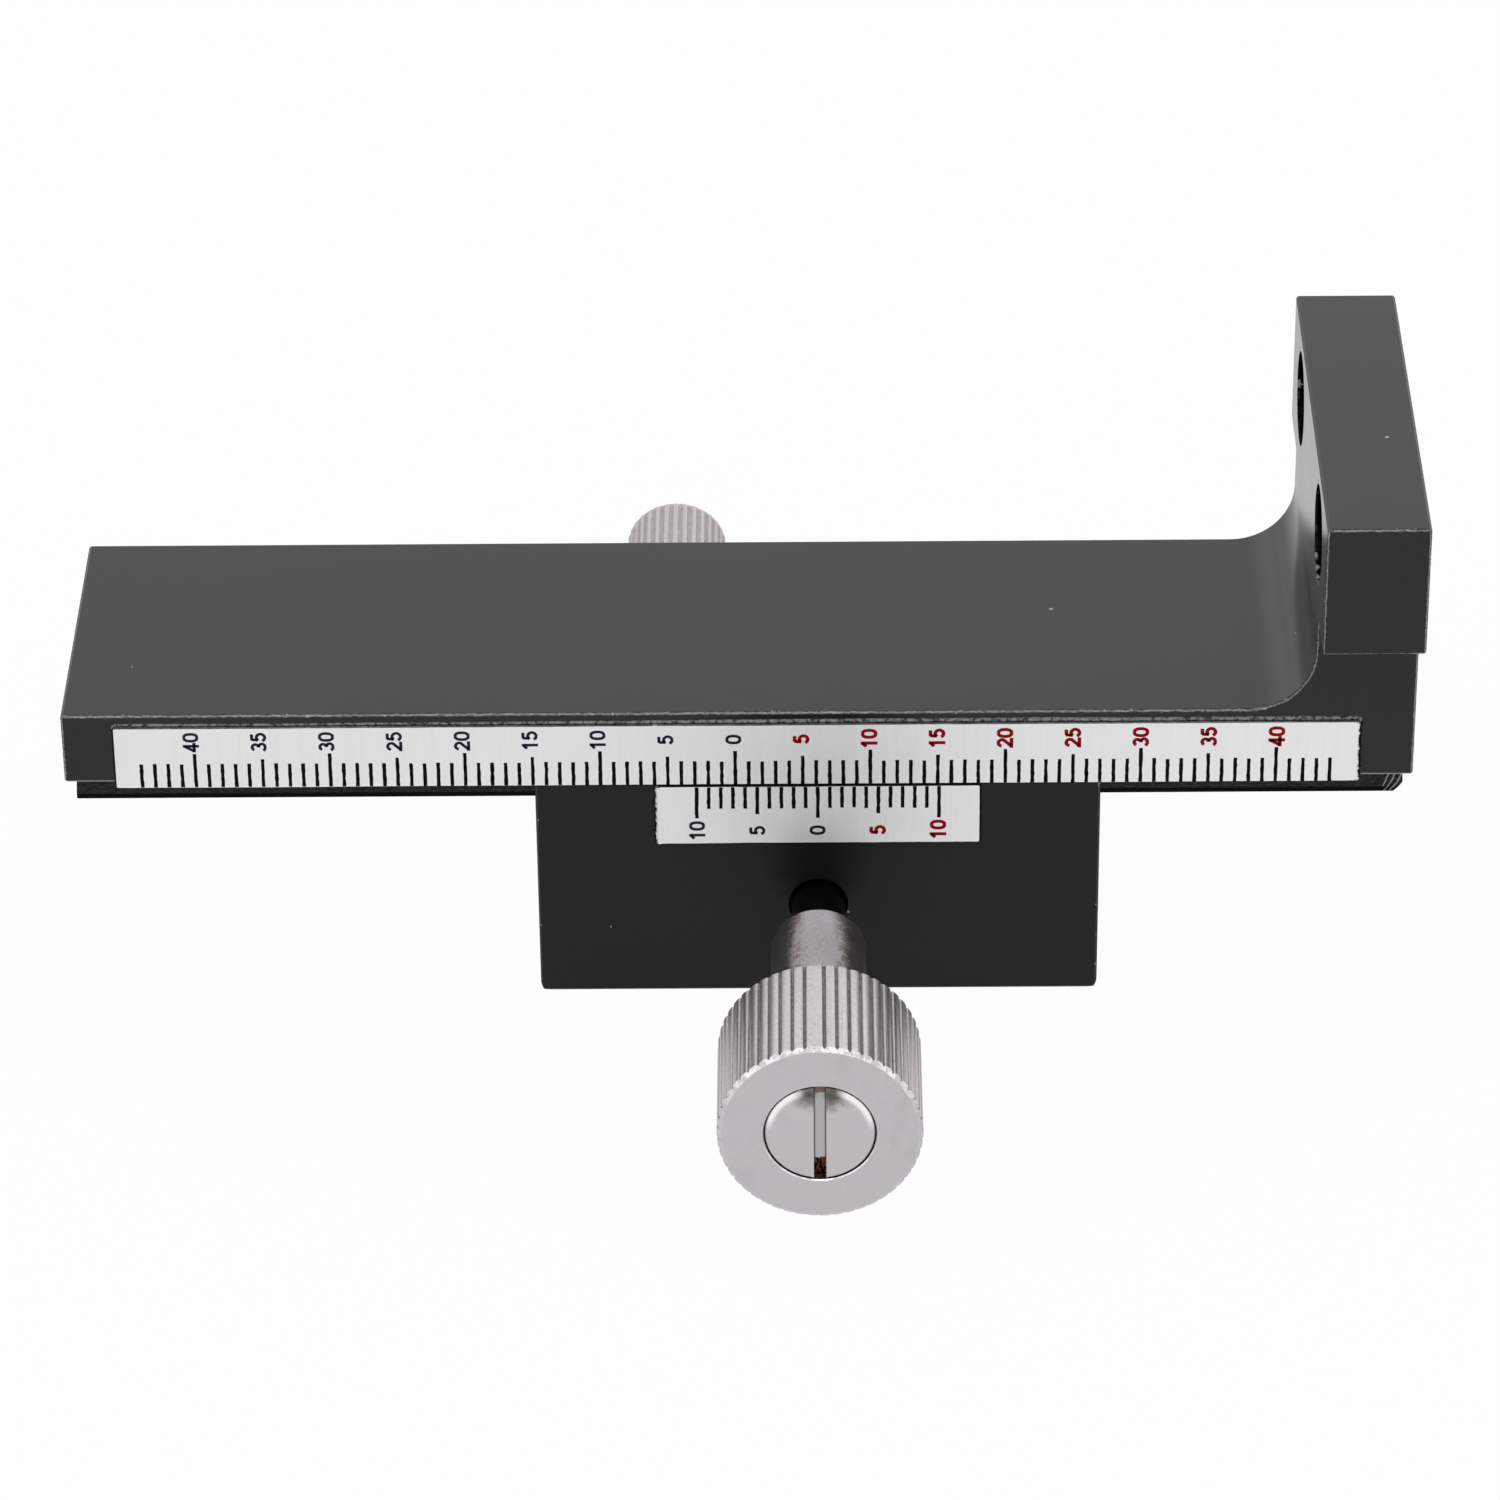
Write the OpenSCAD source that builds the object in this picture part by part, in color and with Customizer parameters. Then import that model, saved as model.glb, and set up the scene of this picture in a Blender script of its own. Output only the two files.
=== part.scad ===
// Dovetail z-axis stage with rack and pinion drive.
// A fixed carriage holds a dovetail slide whose end turns up into a mounting arm.
// Origin: centre of the carriage's bottom face. X is the travel, the drive knob points to -Y.

/* [Slide bracket] */
// Length of the slide along its travel
slide_len = 100; // [96:1:140]
// Width of the slide plate
slide_w = 25; // [24:0.5:30]
// Thickness of the slide plate
slide_t = 5.8; // [5.4:0.1:8]
// Height of the arm's top above the slide's underside
bracket_h = 24.1; // [22.5:0.1:40]
// Thickness of the arm along the travel
arm_t = 7.5; // [6:0.1:10]
// Width of the arm's head
head_w = 35.5; // [32:0.5:45]
// Height of the arm's head
head_h = 10.5; // [9.5:0.1:12]
// Radius of the fillet between slide and arm
fillet_r = 4.8; // [2:0.1:6]
// Where the slide's centre stands along the travel at rest
rest_x = -5.9; // [-30:0.1:30]
// Chamfer on the outer edges of the black parts
edge_c = 0.2; // [0.1:0.05:0.4]

/* [Arm holes] */
// Distance between the two arm holes
arm_hole_gap = 20; // [16:0.5:24]
// Depth of the arm holes' centres below the arm's top
arm_hole_down = 4.7; // [4.2:0.1:5.5]
// Diameter of the screw clearance holes in the arm
arm_hole_d = 4.3; // [3.2:0.1:5]
// Diameter of the counterbores for the screw heads
arm_bore_d = 7.2; // [6:0.1:7.6]
// Depth of the counterbores
arm_bore_depth = 4; // [2:0.1:4.6]

/* [Dovetail] */
// Greatest width of the dovetail rail, at its bottom
rail_w = 15.2; // [14.4:0.1:16]
// Depth of the rail below the slide plate
rail_depth = 4.5; // [4:0.1:5]
// Angle of the rail's flanks from level
flank_deg = 60; // [55:1:65]
// Height of the blunt edge along the rail's widest line
rail_nose = 0.4; // [0.2:0.05:0.8]
// Chamfer on the rail's bottom edge at the arm
rail_end_c = 0.9; // [0.3:0.1:1.2]
// Chamfer on the rail's bottom edge at the free end
rail_free_c = 0.25; // [0.1:0.05:1.2]
// Thickness of the gib strip, square to its faces
gib_t = 2; // [1.6:0.1:2.2]

/* [Carriage] */
// Length of the carriage along the travel
carriage_len = 42; // [40:0.5:60]
// Width of the carriage
carriage_w = 25; // [24.6:0.1:30]
// Height of the carriage
carriage_h = 18.6; // [18.2:0.1:22]
// Rounding of the two bottom edges that cross the travel
carriage_r = 0.75; // [0.2:0.05:1]
// Total travel of the slide
travel = 70; // [20:1:70]
// Distance between the base holes along the travel
base_gap_x = 30; // [26:0.5:32]
// Distance between the base holes across the travel
base_gap_y = 15; // [14:0.5:17]
// Tapping diameter of the base holes
base_hole_d = 2.5; // [2:0.1:3]
// Depth of the base holes
base_hole_depth = 8; // [5:0.5:10]

/* [Rack and pinion] */
// Tooth module of rack and pinion
gear_m = 0.5; // [0.45:0.01:0.55]
// Teeth on the pinion
pinion_teeth = 16; // [15:1:17]
// Height of the pinion's axis above the carriage's bottom
axis_z = 7.75; // [7.4:0.05:8]
// Width of the rack
rack_w = 4; // [3.6:0.1:4.4]
// Teeth on the rack
rack_teeth = 50; // [48:2:54]
// Length of each plain rack end beyond the teeth
rack_end = 5.7; // [4:0.1:7]
// How deep the rack is let into the rail
rack_let = 2; // [1.5:0.1:2.4]

/* [Drive shaft and knob] */
// Diameter of the drive shaft
shaft_d = 4; // [3.6:0.1:4.2]
// Diameter of the hole in the carriage's front face
front_hole_d = 4.5; // [4.4:0.1:5]
// Distance from the carriage's front face to the knob's neck
neck_off = 5.8; // [4:0.1:12]
// Diameter of the knob's neck
neck_d = 7; // [6.4:0.1:9]
// Length of the knob's neck
neck_len = 13.1; // [8:0.1:20]
// Diameter of the knurled knob
knob_d = 14.8; // [12:0.1:15]
// Length of the knurled knob
knob_len = 10.8; // [8:0.1:16]
// Ridges around the knob
knob_ridges = 50; // [36:1:60]
// Diameter of the slotted screw head in the knob
cap_d = 8.2; // [7:0.1:9]
// Width of the screw's slot
cap_slot = 0.9; // [0.6:0.05:1.4]

/* [Lock] */
// Place of the lock screw along the travel
lock_x = -11; // [-12:0.5:-9]
// Diameter of the knurled lock knob
lock_d = 7.8; // [7:0.1:9]
// Length of the knurled lock knob
lock_len = 9.5; // [6:0.1:14]
// Distance from the carriage's rear face to the lock knob's collar
lock_off = 2.2; // [1:0.1:6]
// Ridges around the lock knob
lock_ridges = 32; // [24:1:40]
// Gap between the lock pad and the gib while the slide is free
lock_free = 0.15; // [0.13:0.01:0.3]

/* [Scales] */
// Thickness of the scale plates
plate_t = 0.3; // [0.2:0.05:0.5]
// Length of the main scale plate
main_len = 92; // [90:0.5:94]
// Height of the main scale plate
main_h = 5.1; // [4.8:0.1:5.4]
// How far the main plate's middle lies beyond its zero
main_shift = 0.1; // [-0.4:0.1:0.6]
// How far the main scale's zero lies from the slide's centre
main_zero = -0.2; // [-0.5:0.1:0.5]
// How far the main plate reaches below the slide
main_drop = 0.25; // [0:0.05:0.28]
// Length of the vernier plate
vernier_len = 24; // [22:0.5:30]
// Height of the vernier plate
vernier_h = 4.95; // [4.6:0.05:5.4]
// Marks on each side of the main scale's zero
main_marks = 44; // [40:1:44]
// Distance between main scale marks
mark_pitch = 1; // [0.9:0.05:1]
// Marks on each side of the vernier's zero
vernier_marks = 10; // [5:1:10]
// Width of an etched mark
mark_w = 0.18; // [0.12:0.01:0.25]

/* [Hidden] */
$fn = 64;

// One overrun for every cut
over = 1;
// Running clearance around a turning shaft, each side
run_gap = 0.05;
// Light clearance between pieces that are pressed or glued together
seat_gap = 0.01;
// Gap between the slide's underside and the carriage
slide_gap = 0.3;
// Gap between the rail's bottom and the groove's floor
floor_gap = 0.3;
// Working gap square to the dovetail flanks
flank_gap = 0.04;
// Clearance beside and below the rack and around the pinion
gear_room = 0.3;
// Tooth play between rack and pinion
tooth_play = 0.03;
// Pressure angle of the teeth
pressure_deg = 20;
// Pinion profile shift and tooth root depth, in modules
shift_share = 0.1;
root_share = 1.25;
// Points along one involute flank
flank_steps = 5;

// Lines of the slide, from the carriage upwards
slide_z = carriage_h + slide_gap;
slide_top = slide_z + slide_t;
arm_top = slide_z + bracket_h;
head_z = arm_top - head_h;
rail_z = slide_z - rail_depth;
floor_z = rail_z - floor_gap;
arm_x = slide_len / 2 - arm_t;

// Rack and pinion sizes
pitch_r = gear_m * pinion_teeth / 2;
base_r = pitch_r * cos(pressure_deg);
tip_r = pitch_r + gear_m * (1 + shift_share);
root_r = pitch_r + gear_m * (shift_share - root_share);
tooth_pitch = PI * gear_m;
rack_line = axis_z + pitch_r + gear_m * shift_share;
rack_tip = rack_line - gear_m;
rack_root = rack_line + gear_m * root_share;
rack_back = rail_z + rack_let;
rack_len = rack_teeth * tooth_pitch + 2 * rack_end;
pinion_turn = rest_x / pitch_r * 180 / PI;
pinion_w = rack_w + 2 * gear_room;

// Pieces along the drive axis, from front to rear, as places on Y
front_y = -carriage_w / 2;
rear_y = carriage_w / 2;
front_wall = 2.2;
bush_front_y = front_y + front_wall;
hub_len = 2.7;
hub_d = 6.6;
hub_play = 0.2;
hub_y = -pinion_w / 2 - hub_len;
bush_back_y = hub_y - hub_play;
washer_t = 0.5;
washer_d = 8;
washer_y = pinion_w / 2 + run_gap;
rear_bush_y = washer_y + washer_t + run_gap;
rear_bush_d = 10;
front_bush_d = 6;
end_room = 1.5;
rear_bush_end = rear_y - end_room;
spring_t = 0.25;
spring_h = 0.5;
spring_d = 8;
spring_y = rear_bush_end + run_gap;
clip_t = 0.5;
clip_d = 7;
clip_neck_d = 3.2;
clip_mouth_share = 0.84;
clip_notch_share = 0.4;
clip_notch_shares = [0.6, -0.4];
clip_stub = 0.2;
clip_y = spring_y + spring_h + run_gap;
shaft_end_y = clip_y + clip_t + clip_stub;
pin_d = 1.2;
pin_short = 0.2;

// Drive knob along its axis
neck_y = front_y - neck_off;
knob_y = neck_y - neck_len;
face_y = knob_y - knob_len;
neck_c = 0.25;
knurl_c = 0.4;
ridge_depth = 0.34;
ridge_share = 0.66;
cap_rim = 1.9;
cap_dome = 0.5;
cap_gap = 0.12;
cap_sink = 0.15;
cap_slot_share = 0.55;
cap_shank_d = 2.5;
cap_shank_len = 6;
cap_step = 1.2;
flat_cut = 0.5;
round_bore = 1.5;
cap_floor = face_y + cap_sink + cap_rim;
shaft_tip_y = cap_floor + cap_step;
flat_start = neck_y - round_bore;

// Lock and gib screws
screw_d = 3;
dog_d = 2;
screw_gap = 0.06;
socket_af = 1.5;
socket_depth = 1.2;
screw_sink = 0.3;
gib_height_share = 0.46;
gib_z = floor_z + (slide_z - floor_z) * gib_height_share;
gib_screw_shares = [-0.4, 0.1, 0.4];
spot_depth = 0.75;
spot_gap = 0.1;
gib_gap = 0.05;
gib_short = 0.5;
gib_edge = 0.15;
stud_start = 1.9;
collar_d = 5;
collar_len = 2;
stud_bite = 6;
lock_c = 0.3;

// Travel stop: a dog-point screw in a closed slot under the rail
stop_x = 10;
stop_y = -5;
stop_dog = 1.3;
stop_len = 6;
stop_gap = 0.1;
stop_low = 0.35;

// Rack screws
rack_screw_d = 2;
rack_head_d = 3.2;
rack_head_h = 1.2;
rack_head_sink = 0.2;
rack_slot_share = 0.4;
rack_bite = 3;
rack_screw_share = 0.46;
rack_screw_x = rack_len / 2 - rack_end * rack_screw_share;

// Etched marks on the scale plates
mark_depth = 0.05;
mark_edge = 0.12;
mark_short = 1.9;
mark_mid = 2.35;
mark_long = 2.8;
vernier_share = 0.9;
vernier_pitch = mark_pitch * vernier_share;
vernier_short = 1.8;
vernier_mid = 2.3;
vernier_long = 2.65;
vernier_down = 0.2;
vernier_z = carriage_h - vernier_down - vernier_h;

// Half width of the rail at height z, on the line of its flank
function flank_y(z) = rail_w / 2 - (z - rail_z - rail_nose) / tan(flank_deg);
// Distance along Y of a face that lies off square from the rail's flank
function flank_off(z, off) = flank_y(z) + off / sin(flank_deg);
// A point at radius r and angle a
function polar(r, a) = [r * cos(a), r * sin(a)];
// Roll angle of the involute at radius r, and its polar angle there
function roll(r) = sqrt(max(0, pow(r / base_r, 2) - 1));
function sweep(r) = roll(r) * 180 / PI - atan(roll(r));
// Half the tooth angle of the pinion at radius r
tooth_s = gear_m * (PI / 2 + 2 * shift_share * tan(pressure_deg)) - tooth_play;
base_half = tooth_s / pitch_r * 90 / PI + sweep(pitch_r);
function tooth_half(r) = base_half - sweep(r);
flank_radii = [for (i = [0 : flank_steps]) base_r + (tip_r - base_r) * i / flank_steps];

// Outline of one pinion tooth that points along the angle a
function tooth(a) = concat(
    [polar(root_r, a - base_half)],
    [for (r = flank_radii) polar(r, a - tooth_half(r))],
    [for (i = [flank_steps : -1 : 0]) polar(flank_radii[i], a + tooth_half(flank_radii[i]))],
    [polar(root_r, a + base_half)]
);

// Half width of a rack tooth gap at height z
function gap_half(z) = tooth_pitch / 4 + tooth_play / 2 - (z - rack_line) * tan(pressure_deg);

// Outline of a ring of flat-topped ridges with narrow grooves between them
function ridge_points(d, count) = [
    for (i = [0 : count - 1])
        let (step = 360 / count, half = step * ridge_share / 2)
        for (p = [
            polar(d / 2, i * step - half),
            polar(d / 2, i * step + half),
            polar(d / 2 - ridge_depth, (i + 0.5) * step)
        ]) p
];

// A cylinder along +Y from y0 to y1
module rod(d, y0, y1) {
    translate([0, y0, 0])
        rotate([-90, 0, 0])
            cylinder(d = d, h = y1 - y0);
}

// A profile in (radius, y) turned about the Y axis
module turned() {
    rotate([-90, 0, 0])
        rotate_extrude()
            children();
}

// A block with every edge chamfered by c, centred in X and Y and standing on z0
module eased_block(size, z0, c) {
    translate([0, 0, z0 + size[2] / 2])
        intersection() {
            linear_extrude(size[2], center = true)
                eased_square(size[0], size[1], c);
            rotate([90, 0, 0])
                linear_extrude(size[1], center = true)
                    eased_square(size[0], size[2], c);
            rotate([90, 0, 90])
                linear_extrude(size[0], center = true)
                    eased_square(size[1], size[2], c);
        }
}

// A rectangle with cut corners
module eased_square(w, h, c) {
    polygon([
        [-w / 2 + c, -h / 2],
        [w / 2 - c, -h / 2],
        [w / 2, -h / 2 + c],
        [w / 2, h / 2 - c],
        [w / 2 - c, h / 2],
        [-w / 2 + c, h / 2],
        [-w / 2, h / 2 - c],
        [-w / 2, -h / 2 + c]
    ]);
}

// A knurled cylinder along +Y, chamfered at both ends
module knurled(d, count, y0, y1, c) {
    intersection() {
        translate([0, y0, 0])
            rotate([-90, 0, 0])
                linear_extrude(y1 - y0)
                    polygon(ridge_points(d, count));
        turned()
            polygon([
                [0, y0],
                [d / 2 - c, y0],
                [d / 2 + over, y0 + c + over],
                [d / 2 + over, y1 - c - over],
                [d / 2 - c, y1],
                [0, y1]
            ]);
    }
}

// A socket set screw along -Y from its outer end at y1, with a dog point down to y0
module set_screw(y0, y_body, y1) {
    difference() {
        union() {
            rod(screw_d, y_body, y1);
            rod(dog_d, y0, y_body + seat_gap);
        }
        translate([0, y1 - socket_depth, 0])
            rotate([-90, 0, 0])
                cylinder(d = socket_af / cos(30), h = socket_depth + over, $fn = 6);
    }
}

// Where a screw's body ends so that it clears the gib's slanted back
body_y = flank_off(gib_z - screw_d / 2, flank_gap + gib_t) + spot_gap;
// Floor of the round spots in the gib's back
spot_y = flank_off(gib_z, flank_gap + gib_t) - spot_depth;

// The carriage

// Outline of the dovetail groove with room for the gib on its rear side
module groove_outline() {
    polygon([
        [-flank_off(floor_z, flank_gap), floor_z],
        [flank_off(floor_z, flank_gap + gib_t + gib_gap), floor_z],
        [flank_off(carriage_h + over, flank_gap + gib_t + gib_gap), carriage_h + over],
        [-flank_off(carriage_h + over, flank_gap), carriage_h + over]
    ]);
}

// The block's outline across the travel, with rounded lower corners
module carriage_outline() {
    half = carriage_len / 2;
    polygon(concat(
        [for (a = [180 : 15 : 270]) [carriage_r - half, carriage_r] + polar(carriage_r, a)],
        [for (a = [270 : 15 : 360]) [half - carriage_r, carriage_r] + polar(carriage_r, a)],
        [
            [half, carriage_h - edge_c],
            [half - edge_c, carriage_h],
            [edge_c - half, carriage_h],
            [-half, carriage_h - edge_c]
        ]
    ));
}

module carriage_body() {
    intersection() {
        rotate([90, 0, 0])
            linear_extrude(carriage_w, center = true)
                carriage_outline();
        eased_block([carriage_len, carriage_w, carriage_h], 0, edge_c);
    }
}

module carriage_block() {
    color([0.13, 0.13, 0.13])
        difference() {
            carriage_body();
            rotate([90, 0, 90])
                linear_extrude(carriage_len + 2 * over, center = true)
                    groove_outline();
            // Channel for the rack
            rack_room = rack_w + 2 * gear_room;
            translate([-carriage_len / 2 - over, -rack_room / 2, rack_tip - gear_room])
                cube([carriage_len + 2 * over, rack_room, floor_z - rack_tip + gear_room + over]);
            // Stepped bore for shaft, bushes and pinion
            translate([0, 0, axis_z]) {
                rod(front_hole_d, front_y - over, 0);
                rod(front_bush_d + 2 * seat_gap, bush_front_y, 0);
                rod(2 * (tip_r + gear_room), bush_back_y, rear_bush_y);
                rod(rear_bush_d + 2 * seat_gap, rear_bush_y, rear_y + over);
            }
            // Tapped holes for the gib screws and the lock stud
            for (share = gib_screw_shares)
                translate([share * carriage_len, 0, gib_z])
                    rod(screw_d + 2 * screw_gap, spot_y, rear_y + over);
            translate([lock_x, 0, gib_z])
                rod(screw_d + 2 * screw_gap, spot_y, rear_y + over);
            // Tapped hole for the travel stop
            translate([stop_x, stop_y, -over])
                cylinder(d = screw_d + 2 * screw_gap, h = floor_z + 2 * over);
            // Tapped base holes
            for (x = [-1, 1], y = [-1, 1])
                translate([x * base_gap_x / 2, y * base_gap_y / 2, -over])
                    cylinder(d = base_hole_d, h = base_hole_depth + over);
        }
}

module bush(d, y0, y1) {
    color([0.62, 0.45, 0.24])
        translate([0, 0, axis_z])
            difference() {
                rod(d, y0, y1);
                rod(shaft_d + 2 * run_gap, y0 - over, y1 + over);
            }
}

module front_bush() {
    bush(front_bush_d, bush_front_y, bush_back_y);
}

module rear_bush() {
    bush(rear_bush_d, rear_bush_y, rear_bush_end);
}

// Brass strip between the rail's rear flank and the carriage
module gib_strip() {
    low = floor_z + gib_edge;
    high = carriage_h - gib_edge;
    color([0.75, 0.6, 0.32])
        difference() {
            rotate([90, 0, 90])
                linear_extrude(carriage_len - 2 * gib_short, center = true)
                    polygon([
                        [flank_off(low, flank_gap), low],
                        [flank_off(low, flank_gap + gib_t), low],
                        [flank_off(high, flank_gap + gib_t), high],
                        [flank_off(high, flank_gap), high]
                    ]);
            for (x = concat([lock_x], [for (share = gib_screw_shares) share * carriage_len]))
                translate([x, 0, gib_z])
                    rod(dog_d + 2 * spot_gap, spot_y, rear_y);
        }
}

module gib_set_screws() {
    color([0.2, 0.2, 0.2])
        for (share = gib_screw_shares)
            translate([share * carriage_len, 0, gib_z])
                set_screw(spot_y, body_y, rear_y - screw_sink);
}

module travel_stop_screw() {
    top = floor_z - stop_low;
    color([0.2, 0.2, 0.2])
        translate([stop_x, stop_y, top])
            rotate([-90, 0, 0])
                set_screw(-(rail_z - top) - stop_dog, 0, stop_len);
}

// Etched marks: count each side of the middle, from the plate's edge inwards
module marks(count, pitch, short, mid, long) {
    for (i = [-count : count]) {
        len = i % 10 == 0 ? long : (i % 5 == 0 ? mid : short);
        translate([i * pitch - mark_w / 2, -mark_depth, 0])
            cube([mark_w, mark_depth + over, len]);
    }
}

// Glued to the carriage, with marks that hang from its top edge
module vernier_plate() {
    color([0.85, 0.85, 0.86])
        difference() {
            translate([-vernier_len / 2, front_y - plate_t, vernier_z])
                cube([vernier_len, plate_t - seat_gap, vernier_h]);
            translate([0, front_y - plate_t, vernier_z + vernier_h - mark_edge])
                mirror([0, 0, 1])
                    mirror([0, 1, 0])
                        marks(vernier_marks, vernier_pitch, vernier_short, vernier_mid, vernier_long);
        }
}

// The slide

// Rounds the corner between slide and arm, and eases the fillet's own edges
module fillet_block() {
    axis = [arm_x - fillet_r, 0, slide_top + fillet_r];
    difference() {
        translate([arm_x - fillet_r, -slide_w / 2, slide_z + slide_t / 2])
            cube([fillet_r + arm_t / 2, slide_w, slide_t / 2 + fillet_r]);
        translate(axis)
            rod(2 * fillet_r, -slide_w / 2 - over, slide_w / 2 + over);
        for (side = [0, 1])
            translate(axis)
                mirror([0, side, 0])
                    turned()
                        polygon([
                            [fillet_r - edge_c, -slide_w / 2 - edge_c],
                            [fillet_r + 2 * edge_c, -slide_w / 2 - edge_c],
                            [fillet_r - edge_c, -slide_w / 2 + 2 * edge_c]
                        ]);
    }
}

// Dovetail rail along the slide's underside
module rail() {
    half = rail_w / 2;
    root = slide_z + slide_t / 4;
    difference() {
        rotate([90, 0, 90])
            linear_extrude(slide_len - 2 * edge_c, center = true)
                polygon([
                    [-half, rail_z],
                    [half, rail_z],
                    [half, rail_z + rail_nose],
                    [flank_y(slide_z), slide_z],
                    [flank_y(slide_z), root],
                    [-flank_y(slide_z), root],
                    [-flank_y(slide_z), slide_z],
                    [-half, rail_z + rail_nose]
                ]);
        for (end = [[0, rail_end_c * sqrt(2)], [1, rail_free_c * sqrt(2)]])
            mirror([end[0], 0, 0])
                translate([slide_len / 2, 0, rail_z])
                    rotate([0, 45, 0])
                        cube([end[1], rail_w + 2 * over, end[1]], center = true);
    }
}

// Closed slot under the rail that the travel stop runs in
module stop_slot() {
    d = dog_d + 2 * stop_gap;
    z0 = rail_z - over;
    high = stop_dog + stop_gap + over;
    for (x = [stop_x - travel / 2, stop_x + travel / 2])
        translate([x, stop_y, z0])
            cylinder(d = d, h = high);
    translate([stop_x - travel / 2, stop_y - d / 2, z0])
        cube([travel, d, high]);
}

module slide_bracket() {
    color([0.2, 0.2, 0.2])
        translate([rest_x, 0, 0])
            difference() {
                union() {
                    eased_block([slide_len, slide_w, slide_t], slide_z, edge_c);
                    translate([arm_x + arm_t / 2, 0, 0]) {
                        eased_block([arm_t, slide_w, bracket_h - head_h / 2], slide_z, edge_c);
                        eased_block([arm_t, head_w, head_h], head_z, edge_c);
                    }
                    fillet_block();
                    rail();
                }
                // Groove that the rack is let into
                groove_w = rack_w + 2 * seat_gap;
                translate([-rack_len / 2 - seat_gap, -groove_w / 2, rail_z - over])
                    cube([rack_len + 2 * seat_gap, groove_w, rack_let + seat_gap + over]);
                for (side = [-1, 1])
                    translate([side * rack_screw_x, 0, rack_back - over])
                        cylinder(d = rack_screw_d + 2 * seat_gap, h = rack_bite + over);
                stop_slot();
                // Counterbored arm holes
                for (side = [-1, 1])
                    translate([arm_x, side * arm_hole_gap / 2, arm_top - arm_hole_down])
                        rotate([0, 90, 0]) {
                            translate([0, 0, -over])
                                cylinder(d = arm_hole_d, h = arm_t + 2 * over);
                            translate([0, 0, -over])
                                cylinder(d = arm_bore_d, h = arm_bore_depth + over);
                        }
            }
}

// Outline of the rack, seen along the drive axis
module rack_outline() {
    half = rack_len / 2;
    gaps = rack_teeth / 2;
    polygon(concat(
        [[-half, rack_back], [-half, rack_tip]],
        [
            for (k = [-gaps : gaps])
                for (p = [
                    [k * tooth_pitch - gap_half(rack_tip), rack_tip],
                    [k * tooth_pitch - gap_half(rack_root), rack_root],
                    [k * tooth_pitch + gap_half(rack_root), rack_root],
                    [k * tooth_pitch + gap_half(rack_tip), rack_tip]
                ]) p
        ],
        [[half, rack_tip], [half, rack_back]]
    ));
}

module rack() {
    color([0.55, 0.55, 0.53])
        translate([rest_x, 0, 0])
            difference() {
                rotate([90, 0, 0])
                    linear_extrude(rack_w, center = true)
                        rack_outline();
                for (side = [-1, 1])
                    translate([side * rack_screw_x, 0, rack_tip - over]) {
                        cylinder(d = rack_screw_d + 2 * seat_gap, h = rack_back - rack_tip + 2 * over);
                        cylinder(d = rack_head_d + 2 * seat_gap, h = rack_head_h + rack_head_sink + over);
                    }
            }
}

module rack_screws() {
    head_low = rack_tip + rack_head_sink;
    head_top = head_low + rack_head_h - seat_gap;
    color([0.6, 0.6, 0.6])
        for (side = [-1, 1])
            translate([rest_x + side * rack_screw_x, 0, 0])
                difference() {
                    union() {
                        translate([0, 0, head_low])
                            cylinder(d = rack_head_d, h = rack_head_h - seat_gap);
                        translate([0, 0, head_top - seat_gap])
                            cylinder(d = rack_screw_d, h = rack_back + rack_bite - 2 * seat_gap - head_top);
                    }
                    slot = rack_head_h * rack_slot_share;
                    translate([-rack_head_d, -slot / 2, head_low - over])
                        cube([2 * rack_head_d, slot, over + slot]);
                }
}

// Glued to the slide, with marks that stand on its bottom edge
module main_scale_plate() {
    low = slide_z - main_drop;
    zero = rest_x + main_zero;
    color([0.85, 0.85, 0.86])
        difference() {
            translate([zero + main_shift - main_len / 2, -slide_w / 2 - plate_t, low])
                cube([main_len, plate_t - seat_gap, main_h]);
            translate([zero, -slide_w / 2 - plate_t, low + mark_edge])
                mirror([0, 1, 0])
                    marks(main_marks, mark_pitch, mark_short, mark_mid, mark_long);
        }
}

// The drive

module pinion_shaft() {
    color([0.1, 0.1, 0.1])
        translate([0, 0, axis_z])
            difference() {
                rod(shaft_d, shaft_tip_y, shaft_end_y);
                // Groove for the retaining clip
                difference() {
                    rod(shaft_d + over, clip_y - seat_gap, clip_y + clip_t + seat_gap);
                    rod(clip_neck_d, clip_y - over, clip_y + clip_t + over);
                }
                // Flat that drives the knob
                translate([-shaft_d, shaft_tip_y - over, shaft_d / 2 - flat_cut])
                    cube([2 * shaft_d, flat_start - shaft_tip_y + over, shaft_d]);
                // Tapped hole for the knob screw and cross hole for the pin
                rod(cap_shank_d + 2 * seat_gap, shaft_tip_y - over, shaft_tip_y + cap_shank_len);
                pin_hole();
            }
}

// Cross hole through pinion hub and shaft
module pin_hole() {
    translate([0, hub_y + hub_len / 2, 0])
        rotate([0, 90 + pinion_turn, 0])
            cylinder(d = pin_d + 2 * seat_gap, h = hub_d + 2 * over, center = true);
}

module pinion_gear() {
    color([0.7, 0.56, 0.3])
        translate([0, 0, axis_z])
            difference() {
                union() {
                    rotate([0, pinion_turn, 0])
                        rotate([-90, 0, 0])
                            linear_extrude(pinion_w, center = true)
                                polygon([
                                    for (i = [0 : pinion_teeth - 1])
                                        for (p = tooth(i * 360 / pinion_teeth - 90)) p
                                ]);
                    rod(hub_d, hub_y, -pinion_w / 2 + seat_gap);
                }
                rod(shaft_d + 2 * seat_gap, hub_y - over, pinion_w / 2 + over);
                pin_hole();
            }
}

module pinion_pin() {
    color([0.6, 0.6, 0.6])
        translate([0, hub_y + hub_len / 2, axis_z])
            rotate([0, 90 + pinion_turn, 0])
                cylinder(d = pin_d, h = hub_d - pin_short, center = true);
}

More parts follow.
